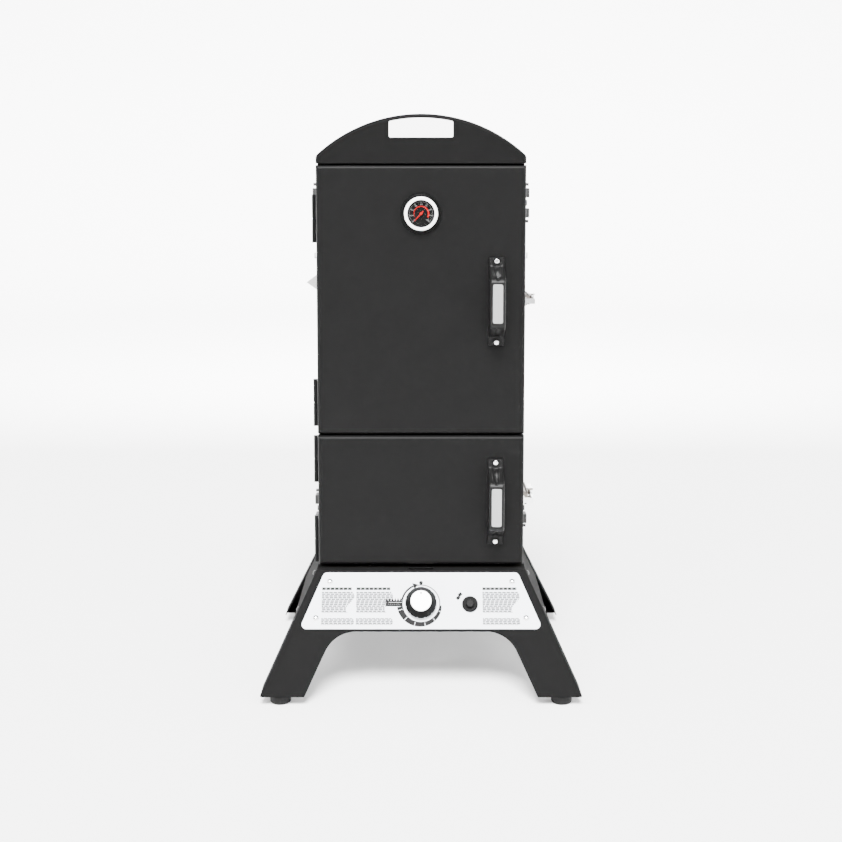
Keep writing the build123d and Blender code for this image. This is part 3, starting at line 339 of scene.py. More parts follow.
def printed_plate(name):
    """The control plate: pale brushed stainless with its black marks.
    Places on the plate are millimetres right of the knob (u) and up the slope from it (v)."""
    paint = Paint(name, Specular_IOR_Level=0.12)
    x, _, z = paint.axes()
    u = x * 1000.0
    v = (z - KNOB_Z) * (1000.0 * STRETCH)
    radius = (u * u + v * v).root()
    turn = paint.add("ShaderNodeMath", {"operation": "ARCTAN2"}, u, v) * (180 / pi)
    soft = 0.35

    streak = paint.noise(34, 4.0, stretch=(1, 14, 14))
    fine = paint.noise(500, 2.0, stretch=(1, 5, 5))
    ground = paint.mix(streak * 0.7 + fine * 0.3, (0.68, 0.7, 0.74, 1), (0.84, 0.86, 0.9, 1))

    ring_in, ring_out = 39.0, 41.4
    ring = radius.band(ring_in, ring_out, soft)

    # the low-to-high band: clockwise degrees from the top, less a whole turn
    sweep_low, sweep_high, thinnest, widest = -265.0, -98.0, 0.7, 8.8
    clock = turn - (turn > 0.0) * 360.0
    swept = ((clock - sweep_low) / (sweep_high - sweep_low)).clear()
    wide = swept.root() * widest + thinnest
    gap_start, gap_every, inked_half = -275.0, 28.0, 0.482
    gaps = (((clock - gap_start) / gap_every).part() - 0.5).size() < inked_half
    inside, outside = 40.4, 42.8
    taper = ((radius - inside) / soft).clear() * ((outside + wide - radius) / soft).clear()
    taper = taper * clock.band(sweep_low, sweep_high, 0.6) * gaps

    # the arrow that turns back to off, and the dot above the knob
    tail, neck, tip, spread = -80.0, -24.0, -8.0, 0.44
    arrow = radius.band(ring_in, 43.4, soft) * turn.band(tail, neck, 0.6)
    head = ((radius - 41.2).size() < ((tip - turn) * spread)) * turn.band(neck, tip, 0.5)
    dot_up, dot_radius = 45.0, 4.2
    dot = (u * u + (v - dot_up) * (v - dot_up)).root() < dot_radius

    # a row of flames on a solid bar
    row_left, row_right, bar_low, bar_high, flame_high = -76.0, -40.4, -6.3, 2.4, 11.8
    in_row = u.band(row_left, row_right, soft)
    notes = ((u / 4.6).part() > 0.45) * 0.08 * v.band(-2.7, -0.7, soft) * u.band(-71.0, -45.0, soft)
    bar = in_row * v.band(bar_low, bar_high, soft) * (1.0 - notes)
    flame_wide, flame_middle, belly, shoulder = 5.93, 2.97, 3.2, 5.0
    from_flame = (((u - row_left) / flame_wide).part() * flame_wide - flame_middle).size()
    narrowing = (v - shoulder).math("MAXIMUM", 0.0) * 0.42
    flames = (from_flame < (belly - narrowing)) * in_row * v.band(bar_high, flame_high, soft)

    # the spark beside the igniter: a kinked stroke, along and across its own slope
    spark_u, spark_v = u - (IGNITER.x * 1000.0 - 23.0), v - 16.0
    along = spark_u * 0.72 + spark_v * 0.69
    across = spark_v * 0.72 - spark_u * 0.69
    kink = (along > 0.0) * 2.4 - 1.2
    spark = ((across - kink).size() < 3.6) * along.band(-8.5, 8.5, soft)
    marks = (ring + taper + arrow + head + dot + bar + flames + spark).clear()
    marks = marks - in_row * v.band(bar_high - 0.6, bar_high + 0.8, soft) * 0.06

    # three columns of ragged strokes under a heading, in place of words
    pitch, word_long, ragged_by = 3.7, 9.3, 9.0
    lines = v / pitch
    ragged = (lines.math("FLOOR") * 12.9898).math("SINE") * ragged_by
    stroke = lines.part().band(0.0, 0.9, 0.08) * (v.band(-20.0, 26.0, soft) + v.band(-46.0, -31.0, soft))
    stroke = stroke * ((u + ragged * 2.3) / word_long).part().band(0.0, 0.9, 0.05)
    heading = v.band(29.0, 35.2, soft) * ((u / word_long).part() > 0.07) * 1.6
    words = 0.0
    for left, right in ((-213.0, -143.0), (-139.0, -60.0), (132.0, 212.0)):
        reach = (u < (ragged + (right - ragged_by))) * (u > left)
        words = stroke * reach + heading * u.band(left, right - 6.0, soft) + words
    ink = (marks + words * 0.9).clear()
    black = marks.clear()
    paint.feed("Base Color", paint.mix(ink, ground, grey(0.002)))
    paint.feed("Roughness", 0.4 + fine * 0.14 + black * 0.15)
    paint.bump(streak * 0.6 + fine * 0.4, 0.1, 0.05 * MM)
    return paint.material


def dial_face(name):
    """The thermometer's dial: black with a red arc that thickens clockwise."""
    paint = Paint(name, Specular_IOR_Level=0.05)
    x, _, z = paint.axes()
    u = x * 1000.0
    v = (z - GAUGE.z) * 1000.0
    radius = (u * u + v * v).root()
    turn = paint.add("ShaderNodeMath", {"operation": "ARCTAN2"}, u, v) * (180 / pi)
    arc_low, arc_high = -118.0, 118.0
    swept = ((turn - arc_low) / (arc_high - arc_low)).clear()
    inside, soft = 14.3, 0.3
    outside = 15.2 + swept * 2.6
    arc = ((radius - inside) / soft).clear() * ((outside - radius) / soft).clear()
    arc = arc * turn.band(arc_low, arc_high, 1.0)
    grain = paint.noise(1500, 2.0)
    ground = paint.mix(grain, grey(0.002), grey(0.004))
    paint.feed("Base Color", paint.mix(arc, ground, (0.3, 0.0006, 0.0006, 1)))
    paint.feed("Roughness", 0.5 + grain * 0.15)
    return paint.material


def clear_glass(name):
    """A thin glass lens: it mostly lets light through, with a sharp shine."""
    paint = Paint(name, Base_Color=(0.002, 0.002, 0.002, 1), Alpha=0.05, Specular_IOR_Level=0.25)
    smear = paint.noise(60, 2.0)
    paint.feed("Roughness", 0.02 + smear * 0.03)
    return paint.material


def enamel(name, colour, rough=0.3, shine=0.5):
    """Smooth printed or sprayed colour with a trace of texture."""
    paint = Paint(name, Specular_IOR_Level=shine)
    grain = paint.noise(1600, 2.0)
    paint.feed("Base Color", paint.mix(grain, tuple(c * 0.85 for c in colour[:3]) + (1.0,), colour))
    paint.feed("Roughness", rough + grain * 0.1)
    paint.bump(grain, 0.08, 0.03 * MM)
    return paint.material


MADE = {}


def finish(name):
    """A finish by name, made the first time that it is asked for."""
    makers = {
        "door_coat": lambda n: powder_coat(n, look().door_tone, 0.46),
        "roof_coat": lambda n: powder_coat(n, look().door_tone, 0.6, 0.04),
        "shell_coat": lambda n: powder_coat(n, look().door_tone * 1.1, 0.68, 0.03),
        "base_coat": lambda n: powder_coat(n, look().base_tone, 0.8, 0.02),
        "hinge_coat": lambda n: powder_coat(n, look().door_tone * 0.9, 0.4),
        "damper_coat": lambda n: cast(n, grey(0.006), 0.0, 0.5),
        "fastener_black": lambda n: polished(n, grey(0.06), 0.3),
        "liner_steel": aluminised,
        "control_steel": printed_plate,
        "badge_steel": lambda n: brushed(n, grey(0.98), (1, 30, 30), 0.35, 0.02, 0.0),
        "bowl_steel": lambda n: brushed(n, grey(0.3), (1, 30, 30), 0.3),
        "grid_steel": lambda n: polished(n, grey(0.4), 0.22),
        "hook_steel": lambda n: brushed(n, grey(0.6), (1, 1, 30), 0.25, 0.06, 0.9),
        "bright_chrome": lambda n: polished(n, grey(0.88), 0.08),
        "latch_pad": lambda n: cast(n, (0.2, 0.18, 0.16, 1), 0.7, 0.42),
        "burner_steel": heat_tinted,
        "valve_brass": lambda n: brushed(n, (0.72, 0.52, 0.24, 1), (30, 30, 1), 0.25),
        "stem_steel": lambda n: brushed(n, grey(0.6), (30, 30, 1), 0.25),
        "knob_plastic": lambda n: moulded(n, 0.002, 0.5, 0.04),
        "button_plastic": lambda n: moulded(n, 0.002, 0.4, 0.04),
        "cap_metal": lambda n: brushed(n, grey(0.95), (20, 1, 1), 0.3, 0.03, 0.15),
        "electrode_ceramic": glazed,
        "handle_plastic": lambda n: moulded(n, 0.004, 0.4),
        "inlay_metal": bordered_inlay,
        "gauge_black": lambda n: enamel(n, grey(0.0015), 0.4, 0.05),
        "gauge_rim": lambda n: brushed(n, grey(0.95), (20, 1, 20), 0.3, 0.02, 0.2),
        "gauge_dial": dial_face,
        "gauge_red": lambda n: enamel(n, (0.3, 0.001, 0.001, 1), 0.5, 0.1),
        "seal_rope": rope,
        "foot_plastic": lambda n: moulded(n, 0.004, 0.5),
        "dial_white": lambda n: enamel(n, grey(0.16), 0.5, 0.1),
        "lens_glass": clear_glass,
        "print_black": lambda n: enamel(n, grey(0.003), 0.5, 0.1),
    }
    if name not in MADE:
        MADE[name] = makers[name](name)
    return MADE[name]


# ---------------------------------------------------------------- mesh helpers


def piece(name, mesh_or_bm, finish_name, body, stands_for=()):
    """A finished piece from a mesh or bmesh in place: its material, body, slot and hidden nodes."""
    if isinstance(mesh_or_bm, bmesh.types.BMesh):
        mesh = bpy.data.meshes.new(name)
        mesh_or_bm.to_mesh(mesh)
        mesh_or_bm.free()
    else:
        mesh = mesh_or_bm
        mesh.name = name
    mesh.materials.clear()
    mesh.materials.append(finish(finish_name))
    made = bpy.data.objects.new(name, mesh)
    bpy.context.scene.collection.objects.link(made)
    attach(made, body)
    if stands_for:
        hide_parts(*stands_for)
    return made


def smooth(mesh, angle=35):
    """Smooth shading except across edges sharper than the angle, in degrees."""
    for face in mesh.polygons:
        face.use_smooth = True
    bm = bmesh.new()
    bm.from_mesh(mesh)
    for edge in bm.edges:
        sharp = len(edge.link_faces) == 2 and edge.calc_face_angle(0) > radians(angle)
        edge.smooth = not sharp
    bm.to_mesh(mesh)
    bm.free()
    return mesh


def turned(points, sides=48, centre=(0, 0, 0), axis=(0, 0, 1)):
    """A solid of revolution: points are (radius, height along the axis), from one pole to the other."""
    bm = bmesh.new()
    spin = Vector(axis).normalized().to_track_quat("Z", "Y").to_matrix().to_4x4()
    place = Matrix.Translation(centre) @ spin
    rings = []
    for radius, height in points:
        if radius < 1e-9:
            rings.append([bm.verts.new(place @ Vector((0, 0, height)))])
            continue
        angles = [tau * n / sides for n in range(sides)]
        ring = [place @ Vector((radius * cos(a), radius * sin(a), height)) for a in angles]
        rings.append([bm.verts.new(point) for point in ring])
    for first, second in zip(rings, rings[1:]):
        for n in range(sides):
            m = (n + 1) % sides
            corners = [(first, n), (first, m), (second, m), (second, n)]
            distinct = list(dict.fromkeys(ring[k % len(ring)] for ring, k in corners))
            if len(distinct) > 2:
                bm.faces.new(distinct)
    bmesh.ops.recalc_face_normals(bm, faces=bm.faces)
    return bm


def islands(node):
    """The separate solids of a CAD node, each as (lowest corner, highest corner)."""
    bm = bmesh.new()
    bm.from_mesh(NODES[node].data)
    bmesh.ops.remove_doubles(bm, verts=bm.verts, dist=1e-6)
    left = set(bm.verts)
    found = []
    while left:
        stack = [left.pop()]
        group = []
        while stack:
            vertex = stack.pop()
            group.append(vertex.co.copy())
            for edge in vertex.link_edges:
                other = edge.other_vert(vertex)
                if other in left:
                    left.remove(other)
                    stack.append(other)
        low = Vector(tuple(min(c[n] for c in group) for n in range(3)))
        high = Vector(tuple(max(c[n] for c in group) for n in range(3)))
        found.append((low, high))
    bm.free()
    return sorted(found, key=lambda box: (round(box[0].z, 4), round(box[0].x, 4), round(box[0].y, 4)))


# ---------------------------------------------------------------- geometry nodes helpers


class Grower:
    """Builds one Geometry Nodes tree and turns its result into a plain mesh."""

    def __init__(self, name, material):
        self.tree = bpy.data.node_groups.new(name, "GeometryNodeTree")
        self.values = {}
        self.name = name
        self.material = material
        self.tree.interface.new_socket("Geometry", in_out="OUTPUT", socket_type="NodeSocketGeometry")
        self.entry = None

    def ask(self, name, value, kind="NodeSocketFloat"):
        """A named input of the tree with its value."""
        item = self.tree.interface.new_socket(name, in_out="INPUT", socket_type=kind)
        self.values[item.identifier] = value
        if self.entry is None:
            self.entry = self.tree.nodes.new("NodeGroupInput")
        return [s for s in self.entry.outputs if s.identifier == item.identifier][0]

    def add(self, kind, settings=None, out=0, **named):
        node = self.tree.nodes.new(kind)
        for key, value in (settings or {}).items():
            setattr(node, key, value)
        for name, value in named.items():
            socket = node.inputs[name.replace("_", " ")]
            if isinstance(value, bpy.types.NodeSocket):
                self.tree.links.new(value, socket)
            else:
                socket.default_value = value
        return node.outputs[out]

    def grow(self, geometry):
        """Ends the tree in Realize Instances and Set Material, and returns the mesh."""
        real = self.add("GeometryNodeRealizeInstances", Geometry=geometry)
        coloured = self.add("GeometryNodeSetMaterial", Geometry=real, Material=self.material)
        exit_node = self.tree.nodes.new("NodeGroupOutput")
        self.tree.links.new(coloured, exit_node.inputs[0])
        holder = bpy.data.objects.new(self.name + "_holder", bpy.data.meshes.new(self.name))
        bpy.context.scene.collection.objects.link(holder)
        modifier = holder.modifiers.new(self.name, "NODES")
        modifier.node_group = self.tree
        for identifier, value in self.values.items():
            modifier[identifier] = value
        bpy.context.view_layer.update()
        graph = bpy.context.evaluated_depsgraph_get()
        mesh = bpy.data.meshes.new_from_object(holder.evaluated_get(graph))
        holder.modifiers.remove(modifier)
        bpy.data.objects.remove(holder)
        return mesh


def hidden_shape(name, bm):
    """A mesh object kept out of the scene, as the shape that a tree repeats."""
    mesh = bpy.data.meshes.new(name)
    bm.to_mesh(mesh)
    bm.free()
    return bpy.data.objects.new(name, smooth(mesh))


def repeated(name, finish_name, shape, places):
    """Copies of a hidden shape at points, its Z turned to each point's direction, by Geometry Nodes.
    places are (point, direction)."""
    grower = Grower(name, finish(finish_name))
    size = grower.ask("Size", 1.0)
    source = bpy.data.meshes.new(name + "_points")
    source.from_pydata([tuple(p) for p, _ in places], [], [])
    direction = source.attributes.new("direction", "FLOAT_VECTOR", "POINT")
    for n, (_, way) in enumerate(places):
        direction.data[n].vector = Vector(way).normalized()
    points_object = bpy.data.objects.new(name + "_points", source)
    bpy.context.scene.collection.objects.link(points_object)
    bpy.context.scene.collection.objects.link(shape)
    points = grower.add("GeometryNodeObjectInfo", Object=points_object, out=4)
    copied = grower.add("GeometryNodeObjectInfo", Object=shape, out=4)
    way = grower.add("GeometryNodeInputNamedAttribute", {"data_type": "FLOAT_VECTOR"}, Name="direction")
    turn = grower.add("FunctionNodeAlignRotationToVector", {"axis": "Z"}, Vector=way)
    dots = grower.add("GeometryNodeMeshToPoints", Mesh=points)
    copies = grower.add("GeometryNodeInstanceOnPoints", Points=dots, Instance=copied, Rotation=turn,
                        Scale=size)
    mesh = grower.grow(copies)
    bpy.data.objects.remove(points_object)
    bpy.data.objects.remove(shape)
    return mesh


def cross_screw(radius, dome, shank, recess=0.5):
    """A round-topped head that stands on Z = 0, with a pressed cross, and its shank (radius, length)."""
    thin, long = shank
    profile = [(0, -long), (thin, -long), (thin, 0), (radius, 0), (radius, dome * 0.72)]
    profile += [(radius * (0.8 + 0.2 * cos(a)), dome * (0.72 + 0.28 * sin(a))) for a in (0.5, 1.0, 1.57)]
    bm = turned(profile + [(radius * recess * 1.1, dome), (0, dome)], 32)
    arm, half, proud = radius * recess, radius * 0.1, 0.12 * MM
    outline = []
    for n in range(4):
        angle = n * pi / 2
        for a, b in ((half, -half), (arm, -half), (arm, half)):
            outline.append((a * cos(angle) - b * sin(angle), a * sin(angle) + b * cos(angle)))
    low = [bm.verts.new((x, y, dome - proud)) for x, y in outline]
    high = [bm.verts.new((x, y, dome + proud)) for x, y in outline]
    count = len(outline)
    for n in range(count):
        m = (n + 1) % count
        bm.faces.new((low[n], low[m], high[m], high[n]))
    bm.faces.new(high)
    bm.faces.new(low[::-1])
    bmesh.ops.recalc_face_normals(bm, faces=bm.faces)
    return bm


# ---------------------------------------------------------------- sizes and colours


class SmokerLook(bpy.types.PropertyGroup):
    """Sizes and tones that a user may change."""

    door_tone: bpy.props.FloatProperty(
        name="Door tone", description="Grey of the doors' coat", default=0.003, min=0.0, max=1.0,
    )
    base_tone: bpy.props.FloatProperty(
        name="Base tone", description="Grey of the base's coat", default=0.005, min=0.0, max=1.0,
    )
    wire: bpy.props.FloatProperty(
        name="Grid wire", description="Radius of a cooking grid's thin wires",
        default=1.6 * MM, unit="LENGTH",
    )
    wire_count: bpy.props.IntProperty(
        name="Grid wires", description="Thin wires in one cooking grid", default=25, min=2,
    )
    ticks: bpy.props.IntProperty(
        name="Dial ticks", description="Marks round the thermometer's dial", default=41, min=2,
    )
    key_light: bpy.props.FloatProperty(
        name="Key light", description="Power of the large front light", default=190.0, unit="POWER",
    )
    overhead: bpy.props.FloatProperty(
        name="Overhead", description="Strength of the soft light from above and in front",
        default=18.0, min=0.0,
    )
    sky: bpy.props.FloatProperty(name="Sky", description="Strength of the even light", default=0.45, min=0.0)


def look():
    return bpy.context.scene.smoker_look


# ---------------------------------------------------------------- operators


class SMOKER_OT_finishes(bpy.types.Operator):
    """Give every carried-over part the finish of its slot"""

    bl_idname = "smoker.finishes"
    bl_label = "Finish the parts"

    def execute(self, context):
        slots = {s["node"]: s["material_slot"] for s in frame["record"]["subparts"]}
        for name, node in NODES.items():
            node.data.materials.clear()
            node.data.materials.append(finish(slots[name]))
        return {"FINISHED"}


class SMOKER_OT_stage(bpy.types.Operator):
    """Lay the floor and set the camera and lights"""

    bl_idname = "smoker.stage"
    bl_label = "Stage"

    def execute(self, context):
        scene = context.scene
        flat, bend, rise = 9.0, 3.0, 5.5
        sweep = [(flat + bend * sin(radians(a)), bend - bend * cos(radians(a))) for a in range(10, 91, 10)]
        bm = turned([(0, 0), (flat, 0)] + sweep + [(flat + bend, rise)], 96)
        mesh = bpy.data.meshes.new("floor")
        bm.to_mesh(mesh)
        bm.free()
        paint = Paint("pale_floor", Roughness=0.95, Specular_IOR_Level=0.0)
        cloud = paint.noise(0.7, 2.0)
        paint.feed("Base Color", paint.mix(cloud, grey(0.95), grey(0.97)))
        mesh.materials.append(paint.material)
        for face in mesh.polygons:
            face.use_smooth = True
        floor = bpy.data.objects.new("floor", mesh)
        scene.collection.objects.link(floor)

        world = bpy.data.worlds.new("studio")
        world.use_nodes = True
        world.node_tree.nodes["Background"].inputs[0].default_value = (1, 1, 1, 1)
        world.node_tree.nodes["Background"].inputs[1].default_value = look().sky
        scene.world = world
        key = look().key_light
        aim = Vector((0, 0, 0.6))
        lights = (
            ("key", (-2.2, -3.0, 3.4), 1.8, key, aim),
            ("fill", (2.6, -3.0, 2.6), 1.8, key * 0.6, aim),
            ("back_wall", (0, 3.0, 3.6), 3.0, key * 9.0, Vector((0, 10, 2.4))),
            ("side_left", (-3.2, -0.2, 1.6), 1.6, key * 0.2, aim),
            ("side_right", (3.2, -0.2, 1.6), 1.6, key * 0.2, aim),
        )
        lamps = []
        for name, place, size, power, target in lights:
            data = bpy.data.lights.new(name, "AREA")
            data.size = size
            data.energy = power
            lamps.append((data, place, target))
        sun = bpy.data.lights.new("overhead", "SUN")
        sun.energy = look().overhead
        sun.angle = radians(26)
        lamps.append((sun, (-0.1, -2.2, 3.4), aim))
        for data, place, target in lamps:
            lamp = bpy.data.objects.new(data.name, data)
            lamp.location = place
            lamp.rotation_euler = (target - Vector(place)).to_track_quat("-Z", "Y").to_euler()
            scene.collection.objects.link(lamp)

        data = bpy.data.cameras.new("camera")
        data.lens = 57.294
        data.sensor_width = 36.0
        data.shift_y = -0.1
        camera = bpy.data.objects.new("camera", data)
        camera.location = (0, -3.0, 1.0789)
        camera.rotation_euler = (pi / 2 - 0.1115, 0, 0)
        scene.collection.objects.link(camera)
        scene.camera = camera
        return {"FINISHED"}


class SMOKER_OT_dial(bpy.types.Operator):
    """Mark the thermometer's dial and cover it with a lens"""

    bl_idname = "smoker.dial"
    bl_label = "Thermometer dial"

    def execute(self, context):
        dial_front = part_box("thermometer_dial")[0].y
        thick = 0.12 * MM
        face = dial_front - thick
        count, long_every = look().ticks, 5
        first, last = radians(-135), radians(135)
        outer = 25.6 * MM
        bm = bmesh.new()
        for n in range(count):
            angle = first + (last - first) * n / (count - 1)
            major = n % long_every == 0
            inner = (21.6 if major else 23.6) * MM
            half = (0.42 if major else 0.22) * MM
            along = Vector((sin(angle), 0, cos(angle)))
            across = Vector((cos(angle), 0, -sin(angle)))
            corners = []
            for depth in (0.0, thick):
                for a, b in ((inner, -half), (outer, -half), (outer, half), (inner, half)):
                    point = Vector((GAUGE.x, face + depth, GAUGE.z)) + along * a + across * b
                    corners.append(bm.verts.new(point))
            for quad in ((0, 1, 2, 3), (7, 6, 5, 4), (0, 4, 5, 1), (1, 5, 6, 2), (2, 6, 7, 3), (3, 7, 4, 0)):
                bm.faces.new([corners[c] for c in quad])
        bmesh.ops.recalc_face_normals(bm, faces=bm.faces)
        piece("dial_ticks", bm, "dial_white", "upper_door")

        numbers = bmesh.new()
        for n in range(0, count, long_every):
            angle = first + (last - first) * n / (count - 1)
            curve = bpy.data.curves.new("number", "FONT")
            curve.body = str(50 + 10 * n)
            curve.size = 3.8 * MM
            curve.align_x = "CENTER"
            curve.align_y = "CENTER"
            curve.extrude = 0.05 * MM
            curve.resolution_u = 3
            holder = bpy.data.objects.new("number", curve)
            context.scene.collection.objects.link(holder)
            context.view_layer.update()
            graph = context.evaluated_depsgraph_get()
            mesh = bpy.data.meshes.new_from_object(holder.evaluated_get(graph))
            bpy.data.objects.remove(holder)
            ring = 19.3 * MM
            place = Vector((GAUGE.x + ring * sin(angle), face, GAUGE.z + ring * cos(angle)))
            mesh.transform(Matrix.Translation(place) @ Matrix.Rotation(pi / 2, 4, "X"))
            numbers.from_mesh(mesh)
        piece("dial_numbers", numbers, "dial_white", "upper_door")

        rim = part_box("thermometer_case")[0].y
        lens_radius = 29.0 * MM
        lens_back = dial_front - 3.2 * MM
        crown = 1.4 * MM
        steps = 8
        outer = [
            (lens_radius * sin(pi / 2 * n / steps), crown * cos(pi / 2 * n / steps)) for n in range(steps + 1)
        ]
        inner = [(lens_radius * (1 - n / steps), -0.5 * MM) for n in range(1, steps + 1)]
        lens = turned(outer + [(lens_radius, -0.5 * MM)] + inner[:-1] + [(0, -0.5 * MM)], 64,
                      (GAUGE.x, max(lens_back, rim + crown + 0.2 * MM), GAUGE.z), FRONT)
        made = piece("thermometer_lens", lens, "lens_glass", "upper_door")
        smooth(made.data)
        return {"FINISHED"}


def between(stops, share):
    """The point at share 0 to 1 of a list of evenly weighted stops, eased by Catmull-Rom."""
    reach = share * (len(stops) - 1)
    n = min(int(reach), len(stops) - 2)
    t = reach - n
    p = [Vector(stops[max(0, min(len(stops) - 1, n + k))]) for k in (-1, 0, 1, 2)]
    return 0.5 * (
        2 * p[1] + (p[2] - p[0]) * t + (2 * p[0] - 5 * p[1] + 4 * p[2] - p[3]) * t * t
        + (3 * p[1] - p[0] - 3 * p[2] + p[3]) * t ** 3
    )


class SMOKER_OT_handles(bpy.types.Operator):
    """Loft the bowed door handles, with scooped ends and a recess for the inlay"""

    bl_idname = "smoker.handles"
    bl_label = "Door handles"

    def execute(self, context):
        for door in DOORS:
            self.loft(door)
        return {"FINISHED"}

    def loft(self, door):
        low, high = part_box(f"{door}_handle")
        centre = (low + high) / 2
        half_wide = (high.x - low.x) / 2 / MM
        front = DOORS[door][0].y
        inlay_low, inlay_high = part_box(f"{door}_handle_inlay")
        recess_x = (inlay_high.x - inlay_low.x) / 2 / MM + 0.15
        recess_u = (inlay_high.z - inlay_low.z) / 2 / MM + 0.15
        bolt_u = (high.z - low.z) / 2 / MM - 7.0
        # from a foot to the middle: (height from the middle, outwards), outer face then inner
        outer = [(93.5, 3.0), (93.1, 8.2), (91.0, 9.0), (84.0, 9.0), (78.0, 9.2), (74.0, 11.5),
                 (70.5, 17.5), (66.0, 28.0), (61.0, 40.0), (56.0, 51.5), (51.5, 59.5), (46.0, 63.8),
                 (40.7, 65.0), (30.0, 65.0), (15.0, 65.0), (0.0, 65.0)]
        inner = [(93.5, 0.6), (93.1, 0.0), (91.0, 0.0), (84.0, 0.0), (76.0, 0.0), (70.0, 0.0),
                 (66.0, 1.2), (62.5, 7.5), (57.5, 19.0), (52.5, 30.5), (47.5, 38.0), (42.5, 40.6),
                 (37.0, 41.0), (28.0, 41.0), (14.0, 41.0), (0.0, 41.0)]
        steps = 84
        across = 26
        corner = 4.0
        bm = bmesh.new()
        rings = []
        for n in range(2 * steps + 1):
            side = 1 if n <= steps else -1
            share = (n if n <= steps else 2 * steps - n) / steps
            out, into = between(outer, share), between(inner, share)
            depth = (into - out).length
            inwards = (into - out).normalized()
            round_by = min(corner, depth / 2 - 0.05)
            outline = []
            for k in range(across + 1):
                x = -(half_wide - round_by) + 2 * (half_wide - round_by) * k / across
                outline.append((x, self.sunk(x, out, recess_x, recess_u, bolt_u)))
            for turn in (15, 35, 55, 75):
                angle = radians(turn)
                x = half_wide - round_by + round_by * sin(angle)
                outline.append((x, round_by - round_by * cos(angle)))
            outline.append((half_wide, round_by))
            outline.append((half_wide, depth - round_by))
            for turn in (15, 35, 55, 75):
                angle = radians(turn)
                x = half_wide - round_by + round_by * cos(angle)
                outline.append((x, depth - round_by + round_by * sin(angle)))
            outline.append((half_wide - round_by, depth))
            mirrored = [(-x, d) for x, d in outline[across + 1:]]
            ring = []
            for x, d in outline + mirrored[::-1]:
                point = out + inwards * d
                ring.append(bm.verts.new((
                    centre.x + x * MM, front - point.y * MM, centre.z + side * point.x * MM,
                )))
            rings.append(ring)
        for first, second in zip(rings, rings[1:]):
            for k in range(len(first)):
                m = (k + 1) % len(first)
                bm.faces.new((first[k], first[m], second[m], second[k]))
        bm.faces.new(rings[0])
        bm.faces.new(rings[-1][::-1])
        bmesh.ops.recalc_face_normals(bm, faces=bm.faces)
        made = piece(f"{door}_handle_grip", bm, "handle_plastic", f"{door}_door",
                     stands_for=[f"{door}_handle"])
        smooth(made.data, 50)

    def sunk(self, x, out, recess_x, recess_u, bolt_u):
        """How far the outer face is sunk at x: the inlay's recess, the scoops and the bolt seats."""
        u = out.x
        if abs(x) < recess_x and u < recess_u:
            return 1.4
        seat = hypot(x, u - bolt_u)
        if seat < 7.4:
            return 1.3
        scoop_low, scoop_high = 47.0, 82.0
        if scoop_low < u < scoop_high:
            rise = (u - scoop_low) / (scoop_high - scoop_low)
            groove = 3.0 + 7.0 * rise
            if abs(x) < groove:
                return 4.2 * sin(pi * rise) * (1 - (x / groove) ** 2) ** 0.8
        return 0.0


class SMOKER_OT_bolts(bpy.types.Operator):
    """Handle bolts with pressed crosses, and the knob's pointer mark"""

    bl_idname = "smoker.bolts"
    bl_label = "Bolts"

    def execute(self, context):
        for door in DOORS:
            node = f"{door}_handle_bolts"
            solids = islands(node)
            low, high = solids[0]
            radius = (high.x - low.x) / 2
            head = 5.5 * MM
            places = []
            for low, high in solids:
                middle = (low + high) / 2
                places.append((Vector((middle.x, low.y + head, middle.z)), FRONT))
            shape = hidden_shape("bolt_shape", cross_screw(radius, head, shank=(3.0 * MM, 16.0 * MM)))
            mesh = repeated(node + "_heads", "bright_chrome", shape, places)
            piece(f"{door}_handle_bolt_pair", mesh, "bright_chrome", f"{door}_door", stands_for=[node])
        mark = KNOB + PLATE_UP * 15.5 * MM
        mark += PLATE_OUT * (self.cap_front() - (mark - KNOB).dot(PLATE_OUT) - 0.55 * MM)
        bm = turned([(0, 0), (3.0 * MM, 0), (3.0 * MM, 0.35 * MM), (2.6 * MM, 0.5 * MM), (0, 0.5 * MM)],
                    24, mark, PLATE_OUT)
        made = piece("knob_pointer_mark", bm, "print_black", "control_knob")
        smooth(made.data)
        return {"FINISHED"}

    def cap_front(self):
        """How far the cap's face stands in front of the cap's middle."""
        points = [v.co for v in NODES["knob_cap"].data.vertices]
        return max((p - KNOB).dot(PLATE_OUT) for p in points)


